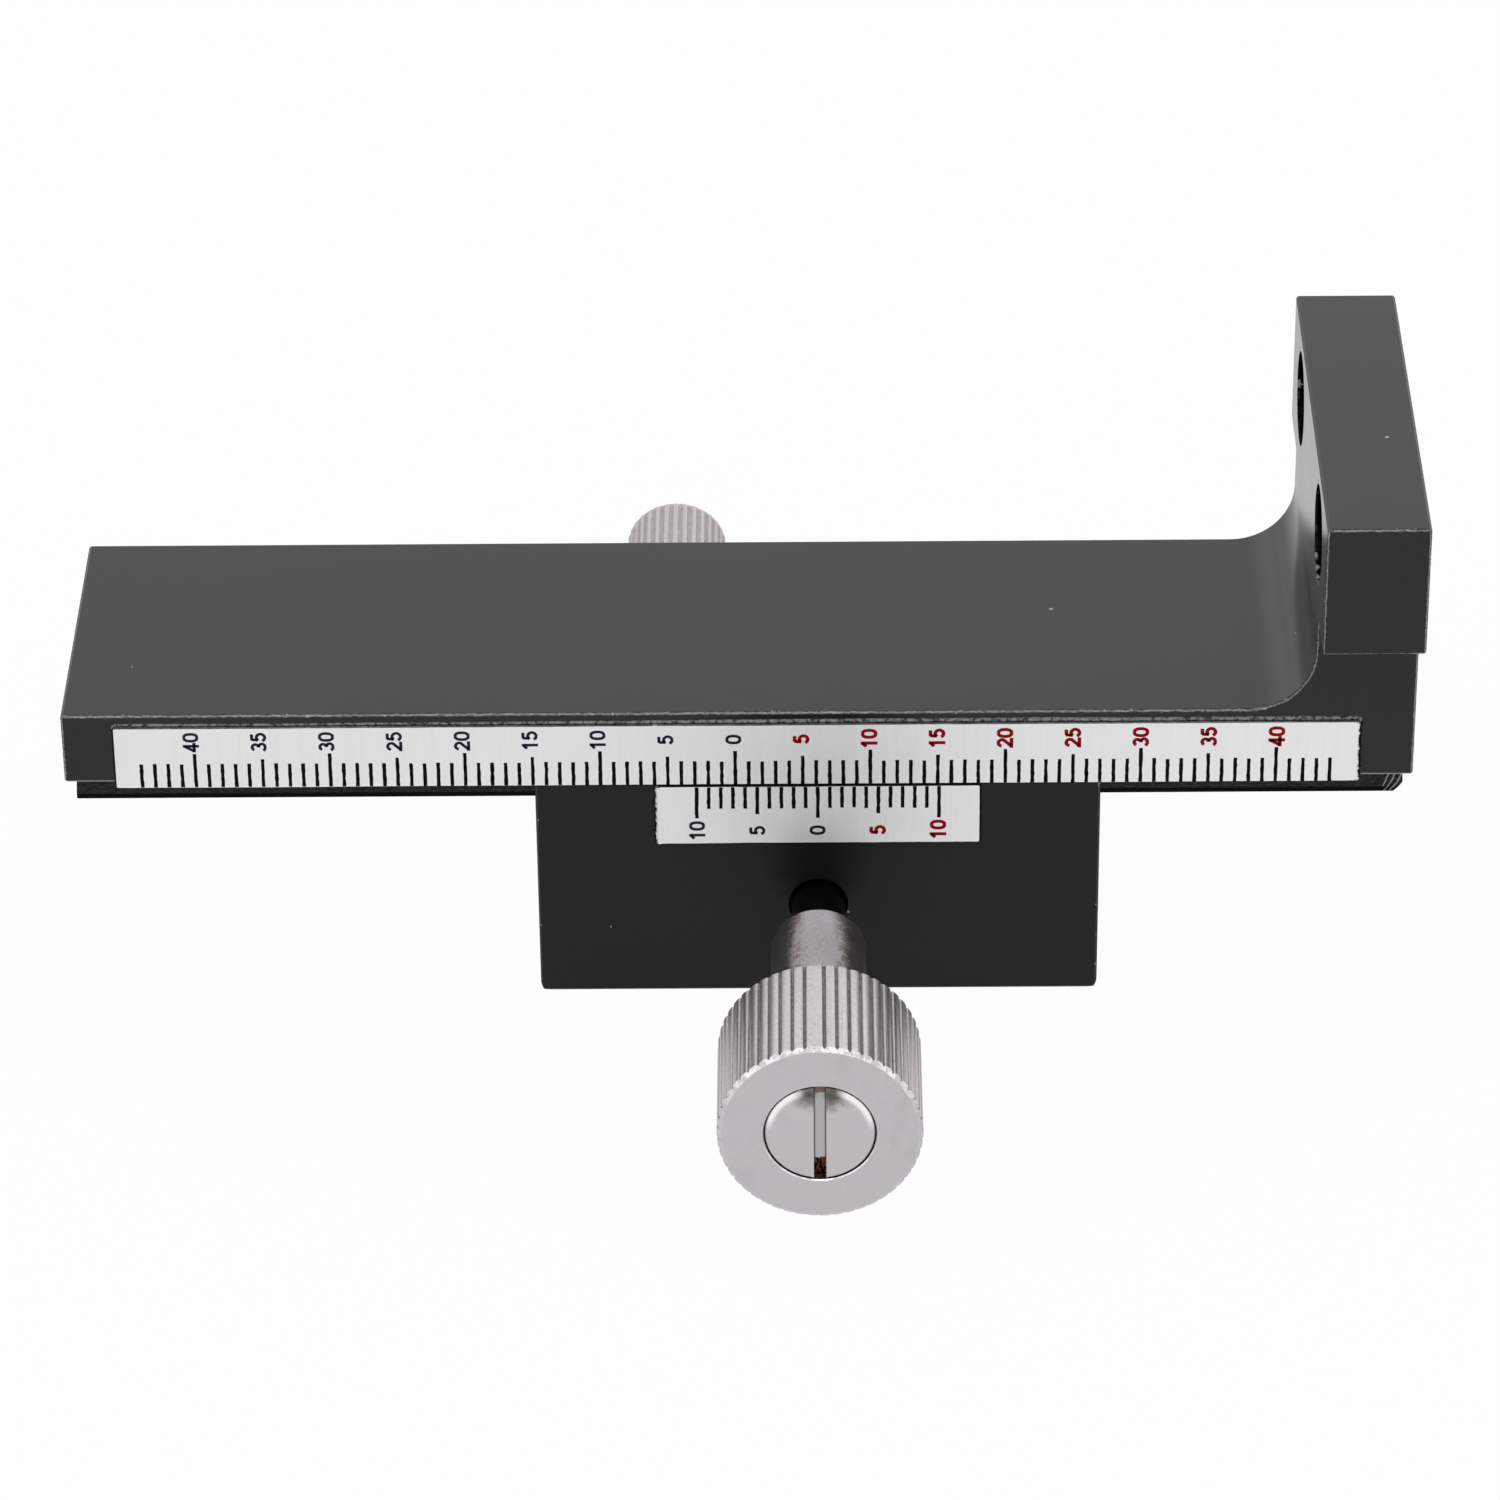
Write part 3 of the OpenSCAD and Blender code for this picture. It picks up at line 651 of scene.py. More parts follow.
@dataclass(frozen=True)
class BlackAnodise(Finish):
    """Satin black anodised aluminium, with nicks and dust, and with painted highlights, glints and shade.

    Attributes:
        tone: Colour of the black layer.
        ior: Index of refraction of the sealed layer.
        roughness: Middle roughness.
        chamfer_tone: Middle brightness of the light line along the front chamfers, partly wear and partly
            painted highlight.
        dust: Share of cells that hold a speck of dust.
        shaded_below: Z below which the surface is painted nearly black as shade, as on the rail.
        bores: X, Y, Z and radius of each bore along X, which starts at that X and gets painted shade.
        bore_depth: How deep the bores are.
        fronts: Y of each face that has a chamfer towards the front.
        chamfer: Size of those chamfers.
        glints: Small painted glints, and on the slide one real speck.
        cutter: X from which and Z below which a cutter left slanted lines, bright as painted glints.
        cutter_step: Half the distance between those lines.
    """

    tone: Colour = (0.009, 0.009, 0.0092)
    ior: float = 1.4
    roughness: float = 0.17
    chamfer_tone: float = 0.22
    dust: float = 0.05
    shaded_below: float = -1.0
    bores: tuple[tuple[float, float, float, float], ...] = ()
    bore_depth: float = 4.2
    fronts: tuple[float, ...] = (-12.5, -17.75)
    chamfer: float = 0.2
    glints: tuple[Stain, ...] = ()
    cutter: Optional[tuple[float, float]] = None
    cutter_step: float = 0.24

    def front_chamfers(self, tree: Tree) -> Value:
        """Returns where the surface is a chamfer that faces the front at a slant."""
        front = tree.normal("True Normal")[1] * -1.0
        return tree.span(front, 0.4, 0.55) * tree.span(front, 0.85, 0.95, 1.0, 0.0)

    def dark_lines(self, tree: Tree, place: Value) -> Value:
        """Returns where a front chamfer is painted dark as a dark reflection: all but a wandering line along
        its middle.

        Args:
            tree: The material's tree.
            place: Coordinates in millimetres.

        Returns:
            A mask from 0 to 1.
        """
        wander = (tree.noise(place, 1.3, 4.0, 0.7) - 0.5) * (self.chamfer * 0.9)
        depth = tree.parts(place)[1] + wander
        first, *others = (tree.near(depth, y + self.chamfer * 0.5, self.chamfer * 0.26) for y in self.fronts)
        for other in others:
            first = first | other
        return 1.0 - first

    def shaded(self, tree: Tree, place: Value) -> Value:
        """Returns where painted shade goes, as little light comes there: on the rail and in the bores.

        Args:
            tree: The material's tree.
            place: Coordinates in millimetres.

        Returns:
            A mask from 0 to 1.
        """
        along, _, up = tree.parts(place)
        total = up < self.shaded_below
        for x, y, z, radius in self.bores:
            flat = tree.vector("MULTIPLY", tree.vector("SUBTRACT", place, (x, y, z)), (0.0, 1.0, 1.0))
            deep = tree.near(along, x + self.bore_depth / 2, self.bore_depth / 2)
            total = total | (tree.reach("LENGTH", flat) < radius) * deep
        return total

    def cutter_lines(self, tree: Tree, place: Value) -> Value:
        """Returns where the cutter's slanted marks show as painted glints, mostly on what faces the front.

        Args:
            tree: The material's tree.
            place: Coordinates in millimetres.

        Returns:
            A mask from 0 to 1.
        """
        from_x, below_z = self.cutter
        along, _, up = tree.parts(place)
        across = along - up * 0.7 + tree.noise(place, 0.9, 2.0) * 0.5
        line = tree.span(tree.math("PINGPONG", across, self.cutter_step), 0.03, 0.07, 1.0, 0.0)
        # Painted glints: the cutter's marks are bright mostly where the surface faces the front.
        ahead = tree.span(tree.normal("True Normal")[1], -0.3, -0.1, 0.6, 0.05)
        return (along > from_x) * (up < below_z) * (line * ahead)

    def bare(self, tree: Tree, place: Value, nicks: Value) -> Value:
        """Returns where light colour goes: the real nicks, the painted glints, and the cutter's marks with
        their painted glints.

        Args:
            tree: The material's tree.
            place: Coordinates in millimetres.
            nicks: Where the nicks are.

        Returns:
            A mask from 0 to 1.
        """
        patch = tree.noise(place, 4.0, 4.0, 0.7)
        for glint in self.glints:
            nicks = nicks | glint.mask(tree, place, patch, 2.5, 0.7)
        return nicks | self.cutter_lines(tree, place) if self.cutter else nicks

    def dress(self, tree: Tree) -> dict[str, Source]:
        """Adds mottling, grain, nicks and dust, a light line along the front chamfers that is partly wear
        and partly painted highlight, painted dark reflection beside it, painted shade and painted glints.

        Args:
            tree: The material's tree.

        Returns:
            The shader's inputs by name.
        """
        place = tree.place()
        mottle = tree.effect("blotches", Vector=place, Scale=0.09, Least=0.45)["Mask"]
        grain = tree.effect("grain", Vector=place, Stretch=(1.0, 1.0, 1.0), Scale=7.0)["Value"]
        dust = tree.effect("specks", Vector=place, Scale=0.45, Amount=self.dust, Dot=0.07)["Mask"]
        ground = tree.mix(mottle, shade(self.tone), shade(self.tone, 1.3))
        grained = tree.mix(tree.span(grain, 0.35, 0.7), ground, shade(self.tone, 1.15))
        scuff_and_sheen_noise = tree.noise(tree.vector("MULTIPLY", place, (1.0, 3.0, 3.0)), 2.2, 5.0, 0.75)
        # Light middle line of the front chamfers: partly wear, partly painted highlight.
        worn_and_lit = tree.span(scuff_and_sheen_noise, 0.38, 0.66, self.chamfer_tone * 0.5, self.chamfer_tone * 1.8)
        light = tree.out(0, "ShaderNodeCombineColor", {0: worn_and_lit, 1: worn_and_lit, 2: worn_and_lit})
        chamfer = self.front_chamfers(tree)
        shaded = self.shaded(tree, place)
        # Painted dark reflection beside that line on the chamfers, and painted shade on the rail and in the
        # bores.
        dark = (chamfer * self.dark_lines(tree, place) * 0.9) | (shaded * 0.92)
        lined = tree.mix(dark, tree.mix(chamfer, grained, light), grey(0.003))
        nicks = chamfer * tree.span(tree.noise(place, 2.7, 4.0, 0.7), 0.64, 0.67) * (1.0 - shaded)
        bare = self.bare(tree, place, nicks)
        smooth = tree.blend(mottle, self.roughness, self.roughness * 1.12)
        satin = tree.blend(tree.span(grain, 0.3, 0.7), smooth, self.roughness * 1.2)
        return {
            "Base Color": tree.mix(dust, tree.mix(bare, lined, grey(0.55)), grey(0.5)),
            "Metallic": dark * (1.0 - bare),
            "Roughness": tree.blend(dust, satin, 0.8),
            "IOR": self.ior,
            "Normal": self.relief(tree, grain, 0.0012),
        }


@dataclass(frozen=True)
class ScaleMetal(Finish):
    """Thin bright scale plate: brushed across, with rough sheared sides, dark next to the face.

    Attributes:
        tone: Colour of the face.
        side_tone: Brightness of the sheared side.
        roughness: Middle roughness of the face.
        face_y: Y of the face.
        torn_x: X from which the upper side is torn and grey right up to the face.
        burrs: X of the plates' torn ends, which have bright burrs.
        burr_size: Half length of those burrs.
    """

    tone: Colour = (0.93, 0.93, 0.935)
    side_tone: float = 0.2
    roughness: float = 0.46
    face_y: float = 0.0
    torn_x: float = 12.0
    burrs: tuple[float, ...] = ()
    burr_size: float = 0.16

    def dress(self, tree: Tree) -> dict[str, Source]:
        """Adds brushing on the face, and makes what faces up, down or sideways grey and rough.

        Args:
            tree: The material's tree.

        Returns:
            The shader's inputs by name.
        """
        place = tree.place()
        brush = tree.effect("grain", Vector=place, Stretch=(7.0, 1.0, 0.3), Scale=1.0)["Value"]
        smudge = tree.effect("blotches", Vector=place, Scale=0.16, Least=0.5)["Mask"]
        ragged = tree.effect("grain", Vector=place, Stretch=(1.0, 1.0, 1.0), Scale=5.0)["Value"]
        side = tree.span(abs(tree.normal()[1]), 0.35, 0.8, 1.0, 0.0)
        face = tree.mix(tree.span(brush, 0.3, 0.7), shade(self.tone, 0.975), shade(self.tone, 1.025))
        along, deep, _ = tree.parts(place)
        patchy = tree.span(tree.noise(place, 0.13, 2.0), 0.44, 0.56, 1.0, 0.25)
        untorn = tree.span(along, self.torn_x, self.torn_x + 9, 1.0, 0.1)
        # Darker band on the sides next to the face, patchy, and mostly gone where the side is torn.
        dark_near_face = tree.span(deep - self.face_y, 0.06, 0.16, 1.0, 0.0) * (patchy * untorn)
        torn = tree.mix(tree.span(ragged, 0.35, 0.65), grey(self.side_tone), grey(self.side_tone * 2.6))
        sheared = tree.mix(dark_near_face, torn, grey(0.01))
        for x in self.burrs:
            close = tree.span(abs(along - x), self.burr_size * 0.8, self.burr_size, 1.0, 0.0)
            sheared = tree.mix(close * tree.span(ragged, 0.4, 0.5), sheared, grey(0.85))
        polished = tree.blend(brush, self.roughness * 0.92, self.roughness * 1.1)
        return {
            "Base Color": tree.mix(side, tree.mix(smudge, face, shade(self.tone, 0.98)), sheared),
            "Metallic": tree.blend(side * dark_near_face, tree.blend(side, 0.7, 0.3), 0.95),
            "Roughness": tree.blend(side, polished, 0.6),
            "Normal": self.relief(tree, tree.blend(side, brush * 0.05, ragged), 0.02),
        }


@dataclass(frozen=True)
class Ink(Finish):
    """Printed and etched marks: matt colour, a little uneven."""

    tone: Colour = (0.002, 0.002, 0.0024)
    shine: float = 0.06

    def dress(self, tree: Tree) -> dict[str, Source]:
        """Adds a slightly uneven layer of matt ink.

        Args:
            tree: The material's tree.

        Returns:
            The shader's inputs by name.
        """
        patch = tree.noise(tree.place(), 3.0, 4.0)
        return {
            "Base Color": tree.mix(patch, shade(self.tone, 0.85), shade(self.tone, 1.25)),
            "Roughness": tree.span(patch, 0.2, 0.8, 0.42, 0.6),
            "Specular IOR Level": self.shine,
            "Normal": self.relief(tree, patch, 0.003),
        }


@dataclass(frozen=True)
class Glue(Finish):
    """Dried clear glue around a plate: cloudy and lumpy, light as painted highlight on its upper side above
    the main plate, and dark elsewhere.

    Attributes:
        light_above: Z above which it is light.
    """

    light_above: float = 0.0

    def dress(self, tree: Tree) -> dict[str, Source]:
        """Adds cloudy patches, and a painted highlight on the upper side of the glue above the main plate.

        Args:
            tree: The material's tree.

        Returns:
            The shader's inputs by name.
        """
        place = tree.place()
        cloud = tree.noise(place, 2.6, 5.0, 0.7)
        # Painted highlight: the glue is light only where it faces up, above the main plate.
        upper = tree.span(tree.normal()[2], -0.9, -0.5) * (tree.parts(place)[2] > self.light_above)
        light = upper * tree.span(cloud, 0.38, 0.6, 0.12, 1.0)
        return {
            "Base Color": tree.mix(light, grey(0.006), grey(0.3)),
            "Metallic": tree.blend(light, 0.9, 0.0),
            "Roughness": tree.span(cloud, 0.3, 0.7, 0.22, 0.5),
            "Normal": self.relief(tree, cloud, 0.03),
        }


class Marks(Enum):
    """Directions of the marks that the tools left, as stretches of their grain; turned rings have none."""

    ROUND = None
    ALONG = (0.25, 4.0, 4.0)
    DRAWN = (4.0, 0.25, 4.0)
    CAST = (1.6, 1.6, 1.6)


@dataclass(frozen=True)
class Metal(Finish):
    """Bare metal with tool marks, smudges and grime.

    Attributes:
        tone: Colour of clean metal.
        tint: Share by which broad faint patches change its red, green and blue.
        grime: Colour of dirt in corners and grooves.
        roughness: Middle roughness.
        marks: Direction of the tool marks.
        contrast: How much the marks lighten and darken the metal.
        centre: Middle of the turned rings, in millimetres.
        depth: Depth of the marks in millimetres.
        uses_groove: Whether the piece carries groove values.
        fresh_cones: Whether its chamfers get a painted highlight, strongest on their upper side.
        stains: Its darker patches.
    """

    tone: Colour = (0.5, 0.49, 0.49)
    tint: Colour = (1.01, 0.975, 1.02)
    grime: Colour = (0.10, 0.078, 0.066)
    roughness: float = 0.33
    marks: Marks = Marks.ROUND
    contrast: float = 0.03
    centre: tuple[float, float, float] = (0.0, 0.0, 0.0)
    depth: float = 0.001
    uses_groove: bool = False
    fresh_cones: bool = False
    stains: tuple[Stain, ...] = ()

    def tool_marks(self, tree: Tree, place: Value) -> Value:
        """Returns the value of the tool marks, from 0 to 1.

        Args:
            tree: The material's tree.
            place: Coordinates in millimetres.

        Returns:
            The value.
        """
        if self.marks is Marks.ROUND:
            return tree.effect("rings", Vector=place, Centre=self.centre, Scale=9.0)["Value"]
        return tree.effect("grain", Vector=place, Stretch=self.marks.value, Scale=1.6)["Value"]

    def dirt(self, tree: Tree, place: Value) -> Value:
        """Returns where grime colour goes: in the grooves, in faint blotches and on the darker patches.

        Args:
            tree: The material's tree.
            place: Coordinates in millimetres.

        Returns:
            A mask from 0 to 1.
        """
        total = tree.effect("blotches", Vector=place, Scale=0.3, Least=0.52)["Mask"] * 0.1
        patch = tree.noise(place, 1.7, 5.0, 0.65)
        if self.uses_groove:
            groove = tree.out("Fac", "ShaderNodeAttribute", attribute_name="groove")
            pits = tree.blend(0.5, patch, tree.noise(place, 6.5, 4.0, 0.7))
            total = total | tree.math("POWER", groove, 1.5) * tree.span(pits, 0.35, 0.62, 0.45, 1.0)
        for stain in self.stains:
            total = total | stain.mask(tree, place, patch, 1.0, 0.0)
        return total

    def fresh_chamfers(self, tree: Tree) -> Value:
        """Returns where a chamfer about the turning axis gets a painted highlight, strongest on its upper
        side.

        Args:
            tree: The material's tree.

        Returns:
            A mask from 0 to 1.
        """
        _, ahead, up = tree.normal()
        slanted = tree.span(abs(ahead), 0.15, 0.35) * tree.span(abs(ahead), 0.9, 0.97, 1.0, 0.0)
        return slanted * tree.span(up, 0.1, 0.5, 0.15, 1.0)

    def extra(self, tree: Tree, place: Value, colour: Value) -> Value:
        """Returns the colour with what only one piece has; here it stays as it is."""
        return colour

    def dress(self, tree: Tree) -> dict[str, Source]:
        """Adds tool marks, grime, a painted highlight on the chamfers and bright rounded edges.

        Args:
            tree: The material's tree.

        Returns:
            The shader's inputs by name.
        """
        place = tree.place()
        lines = self.tool_marks(tree, place)
        dirt = self.dirt(tree, place)
        wear = tree.effect("edge_wear", Vector=place, Radius=0.035 * MM, Breakup=1.5, Share=0.7)
        low, high = shade(self.tone, 1 - self.contrast), shade(self.tone, 1 + self.contrast)
        lined = tree.mix(tree.span(lines, 0.3, 0.7), low, high)
        tinted = tuple(part * share for part, share in zip(self.tone, self.tint))
        broad = tree.span(tree.noise(place, 0.55, 4.0, 0.6), 0.4, 0.62)
        clean = tree.mix(broad, lined, shade(tinted))
        worked = tree.blend(lines, self.roughness * 0.9, self.roughness * 1.12)
        # Painted highlight on the chamfers, strongest on their upper side and broken up by noise.
        if self.fresh_cones:
            cone = self.fresh_chamfers(tree)
            uneven = tree.span(tree.noise(place, 1.5, 4.0, 0.7), 0.4, 0.58)
            clean = tree.mix(cone, clean, tree.mix(uneven, shade(self.tone, 1.05), shade(self.tone, 1.7)))
            worked = tree.blend(cone, worked, 0.2)
        bright = tree.mix(wear["Mask"], clean, shade(self.tone, 1.4))
        bumps = lines + tree.noise(place, 5.0, 4.0, 0.7)
        return {
            "Base Color": self.extra(tree, place, tree.mix(dirt, bright, shade(self.grime))),
            "Metallic": tree.blend(dirt, 1.0, 0.35),
            "Roughness": tree.blend(dirt, worked, 0.6),
            "Normal": self.relief(tree, bumps, self.depth, wear["Normal"]),
        }


@dataclass(frozen=True)
class HandledSteel(Metal):
    """Finish of a knob that has been handled: brown specks all over, and patches on its neck.

    Attributes:
        neck_y: Y behind which the neck lies, if it has one.
        specks: Share of the specks' colour where they are thickest.
        speck_tone: Colour of the specks.
        patch_tone: Colour of the patches.
    """

    neck_y: float = 1000.0
    specks: float = 0.35
    speck_tone: Colour = (0.33, 0.25, 0.24)
    patch_tone: Colour = (0.2, 0.12, 0.1)

    def extra(self, tree: Tree, place: Value, colour: Value) -> Value:
        """Returns the colour with the specks, and with patches where the neck turns aside.

        Args:
            tree: The material's tree.
            place: Coordinates in millimetres.
            colour: Colour of the clean metal.

        Returns:
            The colour.
        """
        sideways, ahead, _ = (abs(part) for part in tree.normal())
        fine = tree.noise(place, 4.2, 4.0, 0.75)
        speckled = tree.span(fine, 0.48, 0.62) * self.specks * tree.span(ahead, 0.1, 0.3, 1.0, 0.0)
        border = tree.span(sideways, 0.3, 0.45) * tree.span(sideways, 0.62, 0.8, 1.0, 0.0)
        patchy = tree.span(tree.blend(0.5, tree.noise(place, 1.1, 4.0, 0.65), fine), 0.44, 0.56)
        brown = border * (tree.parts(place)[1] > self.neck_y) * patchy
        dotted = tree.mix(speckled, colour, shade(self.speck_tone))
        return tree.mix(brown * 0.65, dotted, shade(self.patch_tone))


@dataclass(frozen=True)
class SlottedHead(Metal):
    """Finish of a slotted screw head: painted shade along the slot's walls and on its floor, rust above,
    black grease with painted shade below, and a painted highlight on the dome's upper rim.

    Attributes:
        slot_half: Half the slot's width in millimetres.
        rim: Radius of the dome's rim, which gets a painted highlight at its upper left and right.
        floor_y: Y of the slot's floor.
        rust_z: Z above which rust lies.
        grease_z: Z below which grease lies, with painted shade.
    """

    slot_half: float = 0.45
    rim: float = 3.97
    floor_y: float = 0.0
    rust_z: float = 0.0
    grease_z: float = 0.0

    def extra(self, tree: Tree, place: Value, colour: Value) -> Value:
        """Returns the colour with the slot's rust, grease and painted shade, which lie only deeper than the
        dome, and with the rim's painted highlight.

        Args:
            tree: The material's tree.
            place: Coordinates in millimetres.
            colour: Colour of the clean metal.

        Returns:
            The colour.
        """
        across, depth, up = tree.parts(place)
        beside = abs(across - self.centre[0])
        deep = tree.span(depth, self.floor_y - 0.6, self.floor_y - 0.2)
        # Painted shade: dark lines on the slot's floor along its walls.
        slot_wall_shade = deep * tree.span(beside, self.slot_half - 0.14, self.slot_half - 0.06)
        height = up + (tree.noise(place, 3.5, 5.0, 0.7) - 0.5) * 0.5
        rust = deep * tree.span(height, self.rust_z - 0.1, self.rust_z + 0.15)
        # Grease at the slot's lower end, darkened further as painted shade.
        grease_and_shade = deep * tree.span(height, self.grease_z - 0.08, self.grease_z + 0.04, 1.0, 0.0)
        streak = tree.span(tree.noise(tree.vector("MULTIPLY", place, (5.0, 1.0, 1.2)), 1.3, 3.0), 0.48, 0.6)
        radius = tree.effect("rings", Vector=place, Centre=self.centre, Scale=1.0)["Radius"]
        # Painted highlight on the dome's rim at its upper left and right.
        ring = tree.span(radius, self.rim * 0.85, self.rim * 0.93) * tree.span(deep, 0.0, 0.1, 1.0, 0.0)
        upper = tree.span(up, self.centre[2], self.centre[2] + self.rim * 0.4)
        arc = ring * (upper * tree.span(beside, self.rim * 0.25, self.rim * 0.5))
        polished = tree.mix(arc, colour, (0.98, 0.96, 0.96, 1.0))
        # Painted shade: the slot's floor is darker.
        floor = tree.mix(deep, polished, shade(self.tone, 0.88))
        lined = tree.mix(slot_wall_shade * 0.8, floor, (0.07, 0.045, 0.04, 1.0))
        rusty = tree.mix(rust * 0.75, lined, (0.15, 0.045, 0.02, 1.0))
        grease_shade_colour = tree.mix(streak, (0.008, 0.002, 0.001, 1.0), (0.11, 0.04, 0.025, 1.0))
        return tree.mix(grease_and_shade, rusty, grease_shade_colour)


def dress_nodes(**finishes: Material) -> None:
    """Gives carried-over nodes, which the arguments name, their finishes.

    Args:
        **finishes: The finish of each node.
    """
    for node, material in finishes.items():
        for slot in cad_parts[node].material_slots:
            slot.material = material
        log.info("%s: %s", node, material.name)


def place_piece(piece: Object, body: str, slot: str, material: Material, *nodes: str) -> None:
    """Gives a new piece its finish and body, and hides the nodes that it stands for.

    Args:
        piece: The new piece.
        body: Body that it rides on.
        slot: Not used.
        material: Its finish.
        *nodes: Nodes that it stands for.
    """
    piece.data.materials.append(material)
    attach(piece, body)
    if nodes:
        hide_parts(*nodes)
    log.info("%s: %s, %d points", piece.name, material.name, len(piece.data.vertices))


@dataclass(frozen=True)
class DigitPen:
    """Draws the digits 0 to 5 with strokes of one width.

    Each stroke runs in a box one unit wide and high between the middles of its outer strokes.

    Attributes:
        height: Height of that box in millimetres.
        width: Width of that box in millimetres.
        stroke: Width of a stroke in millimetres.
        advance: Step from one digit to the next in millimetres.
        points: Points on each stroke.
    """

    height: float = 0.97
    width: float = 0.60
    stroke: float = 0.235
    advance: float = 0.86
    points: int = 15

    def line(self, start: Pair, end: Pair) -> Array:
        """Returns points on a straight stroke."""
        share = np.linspace(0, 1, self.points)[:, None]
        return np.array(start) * (1 - share) + np.array(end) * share

    def arc(self, centre: Pair, radii: Pair, start: float, end: float, square: float = 1.0) -> Array:
        """Returns points on an oval stroke.

        A point is the centre plus the radii times the cosine and sine, each raised to a power that
        makes the oval squarer when it is below one.

        Args:
            centre: Middle of the oval.
            radii: Half its width and height.
            start: First angle in degrees, from the right, counterclockwise.
            end: Last angle in degrees.
            square: The power.

        Returns:
            Points by two.
        """
        angle = np.radians(np.linspace(start, end, self.points))
        turn = np.stack([np.cos(angle), np.sin(angle)], axis=1)
        return np.array(centre) + np.array(radii) * np.sign(turn) * np.abs(turn) ** square

    def strokes(self, digit: str) -> Array:
        """Returns a digit's strokes, each with the same number of points.

        Args:
            digit: One of the digits 0 to 5.

        Returns:
            Strokes by points by two.
        """
        over = self.stroke / 2 / self.height
        side = self.stroke / 2 / self.width
        shapes = {
            "0": [self.arc((0.5, 0.5), (0.5, 0.5), start, start + 180, 0.82) for start in (90, -90)],
            "1": [self.line((0.58, -over), (0.58, 1 + over)), self.line((0.06, 0.72), (0.56, 0.99))],
            "2": [
                self.arc((0.5, 0.71), (0.46, 0.29), 172, -38),
                self.line((0.87, 0.56), (0.06, 0.03)),
                self.line((-side, 0.0), (1 + side, 0.0)),
            ],
            "3": [
                self.arc((0.48, 0.75), (0.41, 0.25), 160, -90),
                self.arc((0.48, 0.25), (0.50, 0.25), 90, -160),
            ],
            "4": [
                self.line((0.70, -over), (0.70, 1 + over)),
                self.line((0.66, 0.98), (0.0, 0.27)),
                self.line((-side, 0.25), (1 + side, 0.25)),
            ],
            "5": [
                self.line((0.12, 1.0), (0.95, 1.0)),
                self.line((0.17, 1.03), (0.10, 0.50)),
                self.arc((0.46, 0.32), (0.52, 0.32), 142, -158),
            ],
        }
        return np.stack(shapes[digit])

    def write(self, text: str) -> Array:
        """Returns the strokes of a number, centred on zero, in millimetres.

        Args:
            text: The number's digits.

        Returns:
            Strokes by points by two.
        """
        span = (len(text) - 1) * self.advance + self.width
        size = (self.width, self.height)
        glyphs = [self.strokes(digit) * size + (place * self.advance, 0) for place, digit in enumerate(text)]
        return np.concatenate(glyphs) - (span / 2, self.height / 2)

    def edges(self, path: Array) -> tuple[Array, Array]:
        """Returns the two edges of each stroke: the path shifted by half a width along its normal.

        Args:
            path: Strokes by points by two.

        Returns:
            The left and the right edge.
        """
        run = np.gradient(path, axis=1)
        run /= np.linalg.norm(run, axis=2, keepdims=True)
        normal = np.stack([-run[..., 1], run[..., 0]], axis=-1) * self.stroke / 2
        return path + normal, path - normal


class Hang(Enum):
    """The edge that the marks start from."""

    BOTTOM = 1
    TOP = -1


